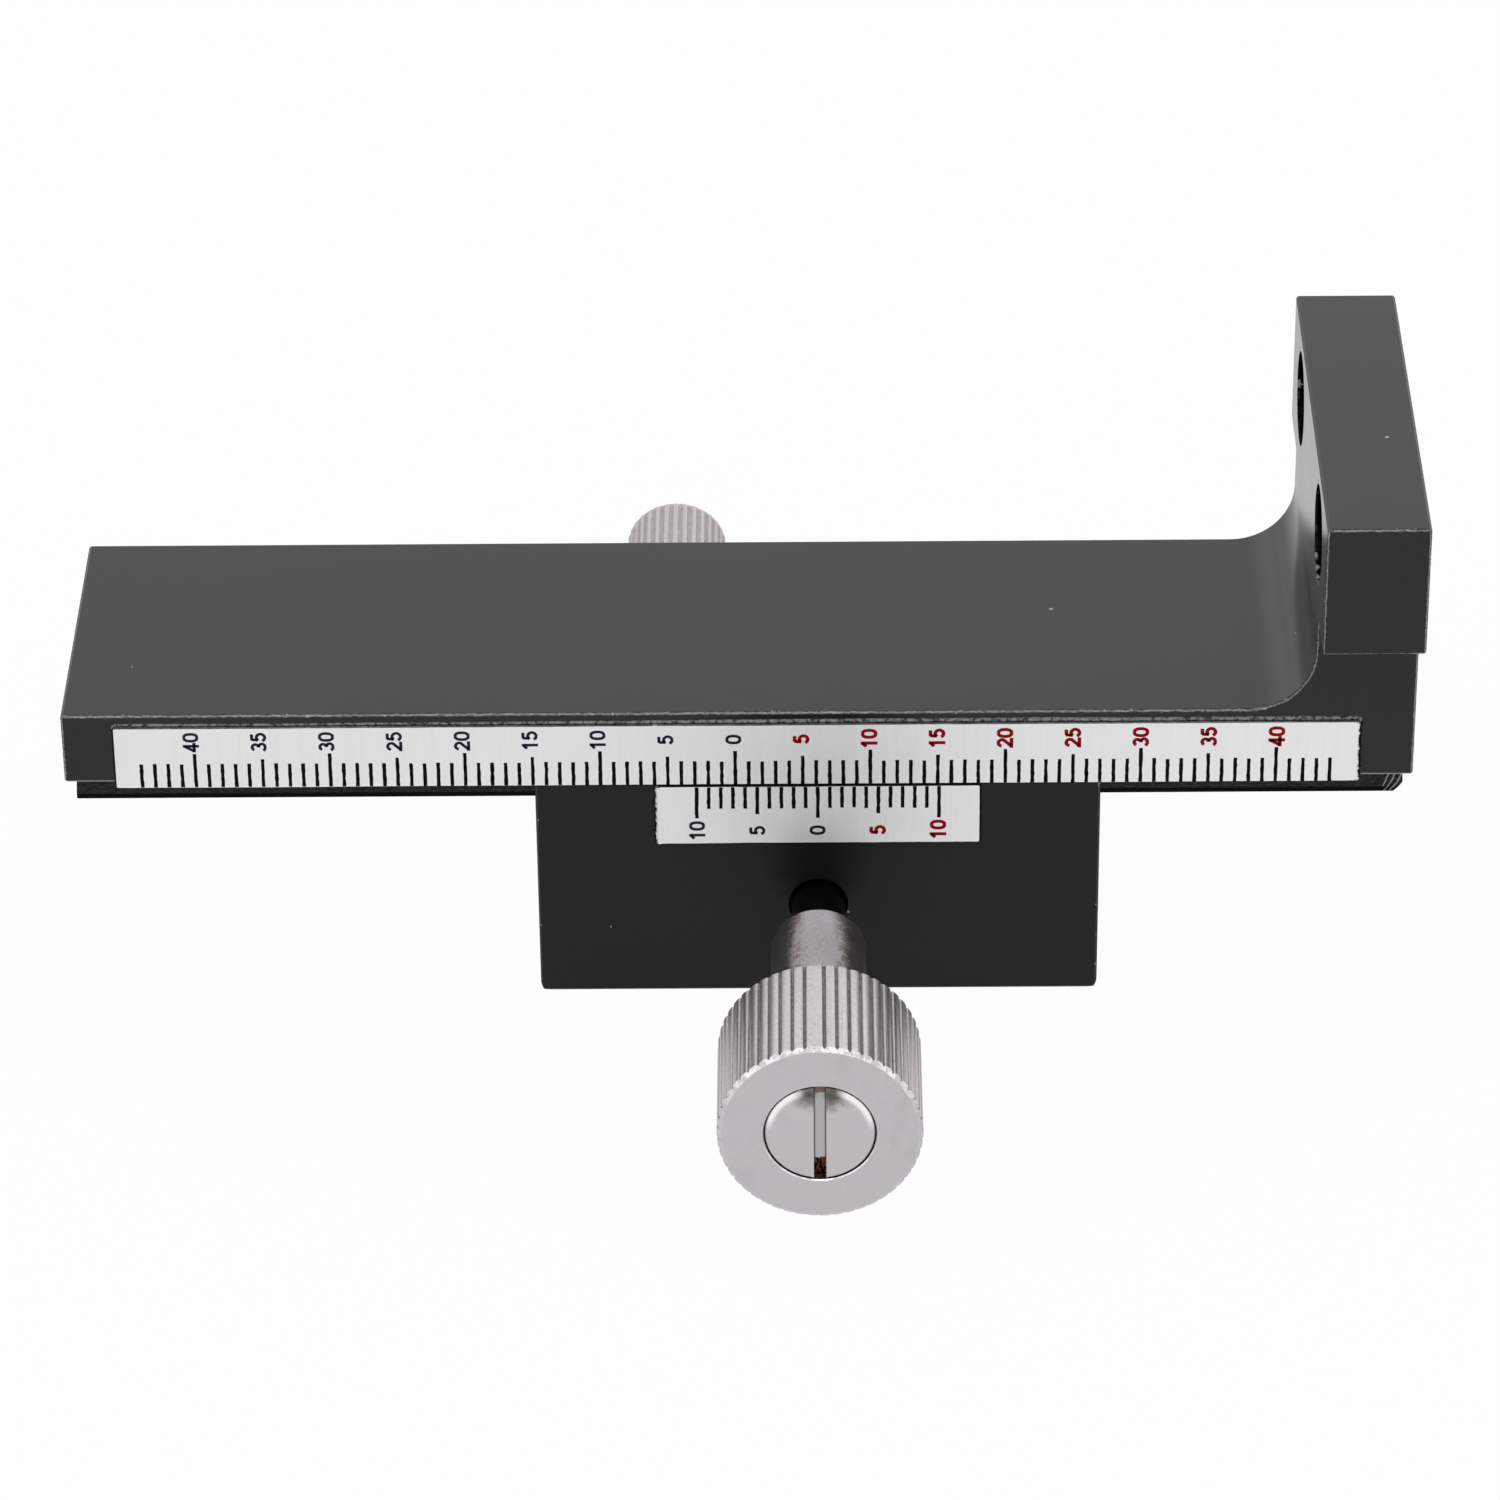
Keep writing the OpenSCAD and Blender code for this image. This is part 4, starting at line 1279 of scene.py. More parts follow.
@dataclass
class ScalePlate:
    """A glued metal scale with marks and numbers, sheared from thin sheet.

    Attributes:
        node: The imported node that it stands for.
        body: Body that it rides on.
        zero: X of the zero mark in millimetres.
        pitch: Distance between marks.
        each_side: Marks on each side of zero.
        hang: Edge that the marks start from.
        lengths: Lengths of a plain mark, of each fifth and of each tenth.
        numbers_in: Distance of the numbers' middle from the other edge.
        last_number: Highest number.
        shift: How far the numbers stand beside their marks.
        drift: How much further each next millimetre sets them.
        torn_end: The ragged end, 1 towards the arm or -1 away from it.
        seed: Picks the waviness of its edges.
        edge: Distance of the marks' even part from the edge that they start from.
        mark_width: Width of a mark.
        mark_points: Points along each side of a mark.
        jitter: How much a mark's length, its middle and the share of its width vary.
        high_stroke: How much bolder the numbers above zero are.
        ink: Height of the ink above the plate.
        step: Distance between the outline's points.
        corner: Radius of its corners.
        bend_points: Points round a corner.
        wave: Height of the sheared edge's waves.
        torn_wave: Height of the torn end's teeth.
        teeth: Least and greatest height of such a tooth.
        torn_from: Where the torn end begins, measured from the plate's end.
        burr: Height of the burr around the face.
        burr_torn: How much higher it gets at the torn end, as a share.
        glue_thick: Least radius of the glue bead.
        glue_more: How much thicker it gets.
        bead_points: Points round the bead.
        pen: Draws the numbers.
    """

    node: str
    body: str
    zero: float
    pitch: float
    each_side: int
    hang: Hang
    lengths: tuple[float, float, float]
    numbers_in: float
    last_number: int
    shift: float
    drift: float
    torn_end: int
    seed: int
    edge: float = 0.12
    mark_width: float = 0.27
    mark_points: int = 7
    jitter: tuple[float, float, float] = (0.03, 0.008, 0.07)
    high_stroke: float = 1.16
    ink: float = 0.004
    step: float = 0.12
    corner: float = 0.12
    bend_points: int = 5
    wave: float = 0.03
    torn_wave: float = 0.055
    teeth: tuple[float, float] = (-0.03, 0.12)
    torn_from: float = 0.5
    burr: float = 0.022
    burr_torn: float = 4.0
    glue_thick: float = 0.055
    glue_more: float = 0.07
    bead_points: int = 8
    pen: DigitPen = field(default_factory=DigitPen)

    def __post_init__(self) -> None:
        """Takes the plate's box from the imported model."""
        self.low, self.high = box_mm(self.node)

    def outline(self) -> tuple[Array, Array, Array, float]:
        """Returns the even outline, the wavy one, their outward directions and their length.

        A point goes round a rectangle with rounded corners, and a random wave moves it outwards.

        Returns:
            The two outlines, the directions and the length.
        """
        x0, z0 = self.low[0] + self.corner, self.low[2] + self.corner
        x1, z1 = self.high[0] - self.corner, self.high[2] - self.corner
        quarter = np.radians(np.linspace(0, 90, self.bend_points))
        parts, outs = [], []
        corners = [(x0, z0), (x1, z0), (x1, z1), (x0, z1), (x0, z0)]
        for start, end, heading in zip(corners, corners[1:], (-90, 0, 90, 180)):
            count = max(int(math.dist(start, end) / self.step), 2)
            share = np.linspace(0, 1, count, endpoint=False)[:, None]
            turn = np.radians(heading)
            out = np.array([math.cos(turn), math.sin(turn)])
            side = np.array(start) * (1 - share) + np.array(end) * share
            parts += [side, np.tile(end, (self.bend_points, 1))]
            bend = np.stack([np.cos(turn + quarter), np.sin(turn + quarter)], axis=1)
            outs += [np.tile(out, (count, 1)), bend]
        out = np.concatenate(outs)
        line = np.concatenate(parts) + out * self.corner
        steps = np.linalg.norm(np.roll(line, -1, axis=0) - line, axis=1)
        length = steps.sum()
        place = np.concatenate([[0], np.cumsum(steps)[:-1]])
        height = waves(place, length, self.seed, 0.5) * self.wave
        ragged = np.random.default_rng(self.seed + 3).normal(0, self.torn_wave, len(line))
        height += np.clip(ragged, *self.teeth) * self.torn(line)
        return line, line + out * height[:, None], out, length

    def torn(self, line: Array) -> Array:
        """Returns 1 at the torn end, 0 along the rest and a smooth rise between them."""
        end = self.high[0] if self.torn_end > 0 else -self.low[0]
        return smooth_step(line[:, 0] * self.torn_end, end - self.torn_from, end - 0.1)

    def plate(self) -> Object:
        """Makes the plate: its outline carried from the middle over the burr and the side to the back.

        Returns:
            The plate.
        """
        even, line, out, length = self.outline()
        half = (self.high[2] - self.low[2]) / 2
        along = np.clip(line[:, 0], self.low[0] + half, self.high[0] - half)
        middle = np.stack([along, np.full(len(line), self.low[2] + half)], axis=1)
        place = np.linspace(0, length, len(line), endpoint=False)
        rough = waves(place, length, self.seed + 1, 0.3, 40)
        burr = self.burr * np.clip(0.5 + rough, 0.05, 1.6) * (1 + self.burr_torn * self.torn(line))
        sheared = out * rough[:, None]
        front, back = self.low[1], self.high[1]
        thick = back - front
        rows = [
            (middle, front),
            (even * 0.8 + middle * 0.2, front),
            (even - out * 0.11, front),
            (even - out * 0.1, front),
            (line - out * 0.05, front - burr * 0.3),
            (line - out * 0.02, front - burr),
            (line, front - burr * 0.6),
            (line + out * 0.004, front + 0.03),
            (line + sheared * 0.012, front + thick * 0.4),
            (line + sheared * 0.018, front + thick * 0.75),
            (line - out * 0.02, back),
            (line * 0.8 + middle * 0.2, back),
            (middle, back),
        ]
        grid = [np.stack([flat[:, 0], depth + 0 * along, flat[:, 1]], axis=1) for flat, depth in rows]
        name = self.node + "_piece"
        return Surface(name, np.stack(grid), wrap_rows=False, weld=True, crease_deg=40).build()

    def glue(self) -> Object:
        """Makes the glue that was squeezed out: a round bead along the outline, with random lumps.

        Returns:
            The bead.
        """
        _, line, out, length = self.outline()
        place = np.linspace(0, length, len(line), endpoint=False)
        lumps = smooth_step(waves(place, length, self.seed + 2, 0.4, 60), -0.8, 0.8)
        thick = self.glue_thick + self.glue_more * lumps
        thick *= np.where(out[:, 1] * self.hang.value > 0.5, 1.0, 0.5)
        angle = np.linspace(0, 2 * np.pi, self.bead_points, endpoint=False)[:, None]
        flat = line[None] + out[None] * (0.05 + thick * (1 + np.cos(angle)))[..., None]
        depth = self.high[1] - thick * np.sin(angle) * 0.8
        points = np.stack([flat[..., 0], depth, flat[..., 1]], axis=-1)
        return Surface(self.node + "_glue", points).build()

    def marks(self) -> Object:
        """Makes the marks: narrow upright strips, slightly uneven, that start on the edge's burr.

        Returns:
            One object that holds them.
        """
        pick = np.random.default_rng(self.seed)
        number = np.arange(-self.each_side, self.each_side + 1)
        plain, fifth, tenth = self.lengths
        length = np.select([number % 10 == 0, number % 5 == 0], [tenth, fifth], plain)
        rise = np.linspace(0, 1, self.mark_points)
        uneven_end, uneven_side, uneven_width = self.jitter
        start = self.low[2] + self.edge if self.hang is Hang.BOTTOM else self.high[2] - self.edge
        reach = length[:, None] * rise
        reach[:, -1:] += pick.normal(0, uneven_end, (len(number), 1))
        z = start + self.hang.value * reach
        z[:, 0] = start - self.hang.value * (self.edge - 0.02)
        middle = self.zero + number[:, None] * self.pitch + pick.normal(0, uneven_side, z.shape)
        half = self.mark_width / 2 * (1 + pick.normal(0, uneven_width, z.shape))
        y = np.full(z.shape, self.low[1] - self.ink)
        y[:, 0] -= self.burr * 1.2
        left = np.stack([middle - half, y, z], axis=-1)
        right = np.stack([middle + half, y, z], axis=-1)
        return strips(self.node + "_marks", left, right)

    def numbers(self, name: str, wanted: list[int]) -> Object:
        """Makes some of the numbers, which read upwards: a digit's top points to the scale's low end.

        Args:
            name: What the piece is called after the node's name.
            wanted: The marks that get a number.

        Returns:
            One object that holds them.
        """
        far_edge = self.high[2] if self.hang is Hang.BOTTOM else self.low[2]
        middle_z = far_edge - self.hang.value * self.numbers_in
        lefts, rights = [], []
        pen = replace(self.pen, stroke=self.pen.stroke * (self.high_stroke if min(wanted) > 0 else 1.0))
        for mark in wanted:
            middle_x = self.zero + mark * self.pitch + self.shift + self.drift * mark
            for edge, kept in zip(pen.edges(pen.write(str(abs(mark)))), (lefts, rights)):
                x = middle_x - edge[..., 1]
                z = middle_z + edge[..., 0]
                kept.append(np.stack([x, np.full(x.shape, self.low[1] - self.ink), z], axis=-1))
        return strips(self.node + name, np.concatenate(lefts), np.concatenate(rights))

    def build(self, metal: Material, glue: Material, inks: dict[str, Material]) -> None:
        """Makes the plate, its glue, marks and numbers.

        Args:
            metal: Finish of the plate.
            glue: Finish of the glue.
            inks: Finishes of the marks and of the low, zero and high numbers.
        """
        low = list(range(-self.last_number, 0, 5))
        high = [-mark for mark in low]
        place_piece(self.plate(), self.body, "scale_metal", metal, self.node)
        place_piece(self.glue(), self.body, "scale_metal", glue)
        place_piece(self.marks(), self.body, "scale_metal", inks["mark"])
        for use, wanted in (("low", low), ("zero", [0]), ("high", high)):
            place_piece(self.numbers("_" + use, wanted), self.body, "scale_metal", inks[use])


@dataclass
class Knurl:
    """Straight ridges round a knob, cut by narrow grooves.

    Attributes:
        ridges: Number of ridges.
        radius: Radius over the ridges.
        depth: Depth of a groove.
        groove_width: Width of a groove at its top.
        floor_width: Width of its flat floor.
        wide_share: Width of one wider ridge, in pitches, where the knurling tool closed its turn.
        wide_angle: Angle of that ridge from the top, towards X.
        crown: How much higher a ridge is in its middle than at its sides.
        uneven: How much the grooves' places, in pitches, and the share of their depth vary.
        seam: Depth of the line in the wider ridge, and how far beside it the fading starts and ends.
        seed: Picks the unevenness.
    """

    ridges: int
    radius: float
    depth: float
    groove_width: float
    floor_width: float
    wide_share: float = 1.0
    wide_angle: float = 0.0
    crown: float = 0.035
    uneven: tuple[float, float] = (0.012, 0.06)
    seam: tuple[float, float, float] = (0.05, 0.1, 0.3)
    seed: int = 5

    def __post_init__(self) -> None:
        """Places the grooves: equal steps, apart from the wider ridge, with a little jitter."""
        pick = np.random.default_rng(self.seed)
        width = np.ones(self.ridges)
        width[0] = self.wide_share
        width *= 2 * np.pi / width.sum()
        ends = np.cumsum(width) - width[0] / 2 + self.wide_angle
        self.grooves = ends + pick.normal(0, self.uneven[0], self.ridges) * width[1]
        self.cuts = self.depth * (1 + pick.normal(0, self.uneven[1], self.ridges))
        self.pitch = width[1]

    def angles(self) -> Array:
        """Returns the angles of the columns: close together in each groove, wide apart on each ridge.

        Returns:
            Angles from 0 to a full turn.
        """
        half = self.groove_width / 2
        top = self.pitch * self.radius / 2 - half
        in_groove, on_ridge = np.array([0.3, 0.55, 0.8, 1.0]), np.array([0.12, 0.3, 0.52, 0.75])
        steps = np.concatenate([in_groove * half, half + on_ridge * top])
        near = np.concatenate([-steps[::-1], [0.0], steps]) / self.radius
        inside = (self.grooves[:, None] + near).ravel()
        following = np.append(self.grooves[1:], self.grooves[0] + 2 * np.pi)
        middles = (self.grooves + following) / 2
        extra = self.wide_angle + 2 * np.pi + np.linspace(-0.35, 0.35, 7) * self.pitch
        every = np.concatenate([inside, middles, extra if self.wide_share > 1 else middles[:0]])
        return np.unique(np.round(every % (2 * np.pi), 6))

    def cut(self, angle: Array) -> tuple[Array, Array]:
        """Returns how deep the surface lies below the ridges, and how far into a groove, from 0 to 1.

        Args:
            angle: Angles of the columns.

        Returns:
            The depths in millimetres and the shares.
        """
        apart = (angle[:, None] - self.grooves + np.pi) % (2 * np.pi) - np.pi
        nearest = np.abs(apart).argmin(axis=1)
        reach = np.abs(apart[np.arange(len(angle)), nearest]) * self.radius
        share = 1 - smooth_step(reach, self.floor_width / 2, self.groove_width / 2)
        top = self.pitch * self.radius / 2 - self.groove_width / 2
        from_middle = 1 - np.clip((reach - self.groove_width / 2) / top, 0, 1)
        deep = self.cuts[nearest] * share + self.crown * from_middle**2
        if self.wide_share > 1:
            from_wide = np.abs((angle - self.wide_angle + np.pi) % (2 * np.pi) - np.pi) * self.radius
            depth, start, stop = self.seam
            deep = deep + depth * (1 - smooth_step(from_wide, start, stop))
        return deep, share


@dataclass
class TurnedKnob:
    """A knurled knob: a profile turned about an axis along Y, with ridges cut into its widest part.

    Attributes:
        node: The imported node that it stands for.
        knurl: Its ridges.
        before: Radius and Y of the profile's points before the knurl, in millimetres.
        start: Y where the knurl's first chamfer meets its end face.
        end: Y where its last chamfer does.
        chamfer: How much smaller than the ridges the end faces are, in radius.
        slope: Length of a chamfer for each millimetre of that.
        after: Profile points after the knurl.
        closed: Whether the profile joins its own start, as on a knob with a bore.
        soiled: Groove value of the part before the knurl.
        run_out: Length over which the grooves get shallower towards the end.
        filled: Share of their depth that they lose there.
        rings: Rings of points along the knurl, before that length and within it.
    """

    node: str
    knurl: Knurl
    before: list[tuple[float, float]]
    start: float
    end: float
    chamfer: float
    slope: float
    after: list[tuple[float, float]]
    closed: bool
    soiled: float = 0.0
    run_out: float = 0.4
    filled: float = 0.48
    rings: tuple[int, int] = (8, 5)

    def build(self) -> Object:
        """Makes the knob.

        Column by column, each chamfer starts where its cone meets the ridge or groove, so its edge
        runs in a zigzag.

        Returns:
            The knob.
        """
        angle = self.knurl.angles()
        deep, share = self.knurl.cut(angle)
        outer = self.knurl.radius - deep
        edge = self.knurl.radius - self.chamfer
        way = math.copysign(1, self.end - self.start)
        first = self.start + way * self.slope * (outer - edge)
        flat = np.ones(len(angle))
        stations = [(radius * flat, y * flat, self.soiled * flat) for radius, y in self.before]
        stations.append((edge * flat, self.start * flat, 0 * flat))
        near_end = 1 - min(self.run_out / abs(self.end - self.start), 0.5)
        even, close = self.rings
        for part in np.concatenate([np.linspace(0, near_end, even), np.linspace(near_end, 1, close)[1:]]):
            left = 1 - self.filled * max(part - near_end, 0) / (1 - near_end)
            radius = self.knurl.radius - deep * left
            finish = self.end - way * self.slope * (radius - edge)
            stations.append((radius, first * (1 - part) + finish * part, (share * 0.8 + 0.2) * left**2))
        stations.append((edge * flat, self.end * flat, 0 * flat))
        stations += [(radius * flat, y * flat, 0 * flat) for radius, y in self.after]
        radius, y, groove = (np.stack(parts) for parts in zip(*stations))
        return Surface(
            self.node + "_piece",
            turned(self.node, radius, y, angle),
            wrap_rows=self.closed,
            groove=groove,
            weld=not self.closed,
            crease_deg=28,
        ).build()


@dataclass(frozen=True)
class HeadSizes:
    """Sizes of the drive knob's head and screw that their shapes and their finishes share.

    Attributes:
        length: Length of the knurled head.
        rim: Radius of the screw's dome.
        slot: Width of its slot.
        slot_depth: Depth of the slot's floor below the knob's face.
    """

    length: float = 10.8
    rim: float = 3.97
    slot: float = 0.9
    slot_depth: float = 1.2


@dataclass
class Finishes:
    """Every finish of the stage, made into materials once.

    Attributes:
        head: Sizes of the knob's head and screw.
        front_y: Y of the front faces of slide and carriage.
        plate_thick: Thickness of the scale plates.
        slide_z: Z of the slide plate's underside.
        arm_x: X of the arm's inner face.
        cutter_x: X beyond which the cutter's marks show as painted glints.
        hole_y: Y of the near hole in the arm; the far one is its mirror image.
        hole_z: Z of both holes.
        bore_radius: Radius within which they are shaded.
        bore_glints: Y and Z from the near hole's axis, and size, of each painted glint in the bores.
        arm_speck: X, Y and Z of a speck on the arm's top, from the near hole's middle.
        shaft_glints: X, Z and size of each painted glint around the drive shaft.
        smudges: X and Z from the knob's axis, size and strength of each darker patch on the screw.
        rust_length: How far rust reaches down from the slot's top end.
        grease_length: How far grease and its painted shade reach up from its lower end.
    """

    head: HeadSizes = HeadSizes()
    front_y: float = -12.5
    plate_thick: float = 0.3
    slide_z: float = 18.9
    arm_x: float = 36.6
    cutter_x: float = 42.4
    hole_y: float = -10.0
    hole_z: float = 38.3
    bore_radius: float = 3.7
    bore_glints: tuple[tuple[float, ...], ...] = (
        (-1.5, -3.3, 0.3),
        (-0.3, -3.6, 0.35),
        (0.9, -3.5, 0.3),
        (1.9, -3.0, 0.25),
        (23.5, -0.7, 0.4),
    )
    arm_speck: tuple[float, float, float] = (5.24, 5.77, 4.7)
    shaft_glints: tuple[tuple[float, ...], ...] = (
        (-0.84, 9.45, 0.12),
        (0.43, 9.5, 0.1),
        (1.22, 9.3, 0.12),
        (2.25, 7.05, 0.12),
        (-2.2, 8.0, 0.08),
    )
    smudges: tuple[tuple[float, ...], ...] = (
        (-0.7, 3.45, 1.65, 0.95),
        (0.75, 3.4, 1.75, 0.95),
        (-0.75, -0.55, 0.25, 0.8),
    )
    rust_length: float = 1.0
    grease_length: float = 1.35

    def __post_init__(self) -> None:
        """Makes the materials."""
        low, high = box_mm("drive_knob")
        self.knob_axis = (float(low[0] + high[0]) / 2, float(low[1]), float(low[2] + high[2]) / 2)
        self.lock_axis = tuple(float(value) for value in sum(box_mm("lock_knob")) / 2)
        self.black_parts()
        self.plates()
        self.knobs()
        along, drawn, cast = Marks.ALONG, Marks.DRAWN, Marks.CAST
        black = Metal("black_steel", tone=(0.035, 0.033, 0.034), roughness=0.3, centre=self.knob_axis)
        self.black_steel = black.material()
        self.thread = Metal("thread_steel", tone=(0.4, 0.39, 0.38), marks=cast).material()
        self.plain = Metal("ground_steel", tone=(0.44, 0.44, 0.43), marks=along, roughness=0.3).material()
        self.pin = Metal("pin_steel", tone=(0.5, 0.5, 0.49), marks=drawn, roughness=0.25).material()
        # Dark brown bronze: painted shade for the bushes inside the carriage's holes.
        self.bronze = Metal("shaded_bronze", tone=(0.13, 0.075, 0.04), marks=cast, roughness=0.42).material()
        self.brass = Metal("machined_brass", tone=(0.6, 0.44, 0.19), marks=along, roughness=0.3).material()

    def black_parts(self) -> None:
        """Makes the finishes of the bracket and the carriage, with their painted glints and the arm's speck.
        """
        hole = np.array([self.arm_x, self.hole_y, self.hole_z])
        # Painted glints on the bores' rims, and one real speck on the arm's top.
        spots = [Stain(tuple(hole + (0, y, z)), size, 0.9) for y, z, size in self.bore_glints]
        spots.append(Stain(tuple(hole + self.arm_speck), 0.15, 1.0))
        # Painted shade on the rail below the slide and inside the arm's bores.
        start, both = self.arm_x + 0.2, (self.hole_y, -self.hole_y)
        bores = tuple((start, y, self.hole_z, self.bore_radius) for y in both)
        self.slide = BlackAnodise(
            "slide_black",
            shaded_below=self.slide_z - 0.05,
            bores=bores,
            glints=tuple(spots),
            cutter=(self.cutter_x, self.slide_z),
        ).material()
        # The carriage's finish is a darker, less glossy copy of the slide's, with dim chamfers: painted
        # shade from the knob and the floor close in front.
        self.carriage = BlackAnodise(
            "carriage_black",
            tone=(0.0064, 0.0066, 0.0065),
            ior=1.32,
            roughness=0.32,
            chamfer_tone=0.03,
            # Painted glints on the rim of the drive shaft's hole.
            glints=tuple(Stain((x, self.front_y, z), size, 0.8) for x, z, size in self.shaft_glints),
        ).material()

    def plates(self) -> None:
        """Makes the finishes of the scale plates, their glue and their inks."""
        main, vernier = box_mm("main_scale_plate"), box_mm("vernier_plate")
        shared = {"face_y": self.front_y - self.plate_thick, "burrs": (main[1][0], vernier[0][0])}
        self.plate = ScaleMetal("plate_metal", **shared).material()
        # The vernier's sides are nearly black: painted shade, as its upper side lies in the gap under the
        # main plate.
        self.vernier = ScaleMetal("vernier_metal", side_tone=0.012, **shared).material()
        self.glue = Glue("dried_glue", light_above=main[1][2] - 0.1).material()
        tones = {
            "mark": (0.002, 0.002, 0.0024),
            "low": (0.018, 0.024, 0.042),
            "zero": (0.014, 0.016, 0.022),
            "high": (0.33, 0.002, 0.012),
        }
        self.inks = {use: Ink(use + "_ink", tone=tone).material() for use, tone in tones.items()}

    def knobs(self) -> None:
        """Makes the finishes of both knobs and of the drive knob's screw."""
        knob_x, face_y, knob_z = self.knob_axis
        smudges = [
            Stain((knob_x + x, face_y, knob_z + z), size, hides) for x, z, size, hides in self.smudges
        ]
        self.knob = HandledSteel(
            "knob_steel",
            tone=(0.57, 0.555, 0.565),
            roughness=0.27,
            grime=(0.17, 0.13, 0.12),
            centre=self.knob_axis,
            uses_groove=True,
            fresh_cones=True,
            neck_y=face_y + self.head.length,
        ).material()
        self.screw = SlottedHead(
            "screw_steel",
            tone=(0.585, 0.565, 0.57),
            centre=self.knob_axis,
            stains=tuple(smudges),
            slot_half=self.head.slot / 2,
            rim=self.head.rim,
            floor_y=box_mm("knob_screw")[0][1] + self.head.slot_depth,
            rust_z=knob_z + self.head.rim - self.rust_length,
            grease_z=knob_z - self.head.rim + self.grease_length,
        ).material()
        self.lock = HandledSteel(
            "lock_steel",
            tone=(0.49, 0.455, 0.46),
            grime=(0.45, 0.405, 0.41),
            centre=self.lock_axis,
            uses_groove=True,
            specks=0.2,
        ).material()


@dataclass
class SlidePart:
    """The moving slide: bracket, rack and main scale; the scale's zero stands left of the plate's middle."""

    finishes: Finishes
    zero_left: float = 0.1

    def build(self) -> None:
        """Dresses the bracket and the rack, and makes the main scale."""
        made = self.finishes
        dress_nodes(slide_bracket=made.slide, rack=made.plain, rack_screws=made.pin)
        low, high = box_mm("main_scale_plate")
        scale = ScalePlate(
            node="main_scale_plate",
            body="slide",
            zero=(low[0] + high[0]) / 2 - self.zero_left,
            pitch=1.0,
            each_side=44,
            hang=Hang.BOTTOM,
            lengths=(1.9, 2.35, 2.8),
            numbers_in=1.2,
            last_number=40,
            shift=-0.115,
            drift=0.0029,
            torn_end=1,
            seed=11,
            glue_thick=0.11,
        )
        scale.build(made.plate, made.glue, made.inks)


@dataclass
class CarriagePart:
    """The fixed carriage: block, vernier, bushes, gib and its screws."""

    finishes: Finishes

    def build(self) -> None:
        """Dresses the carriage's nodes and makes the vernier."""
        dress_nodes(
            carriage_block=self.finishes.carriage,
            gib_strip=self.finishes.brass,
            front_bush=self.finishes.bronze,
            rear_bush=self.finishes.bronze,
            gib_set_screws=self.finishes.black_steel,
            travel_stop_screw=self.finishes.black_steel,
        )
        low, high = box_mm("vernier_plate")
        scale = ScalePlate(
            node="vernier_plate",
            body="carriage",
            zero=(low[0] + high[0]) / 2,
            pitch=0.9,
            each_side=10,
            hang=Hang.TOP,
            lengths=(1.8, 2.3, 2.65),
            numbers_in=1.09,
            last_number=10,
            shift=-0.03,
            drift=-0.003,
            torn_end=-1,
            seed=29,
        )
        scale.build(self.finishes.vernier, self.finishes.glue, self.finishes.inks)


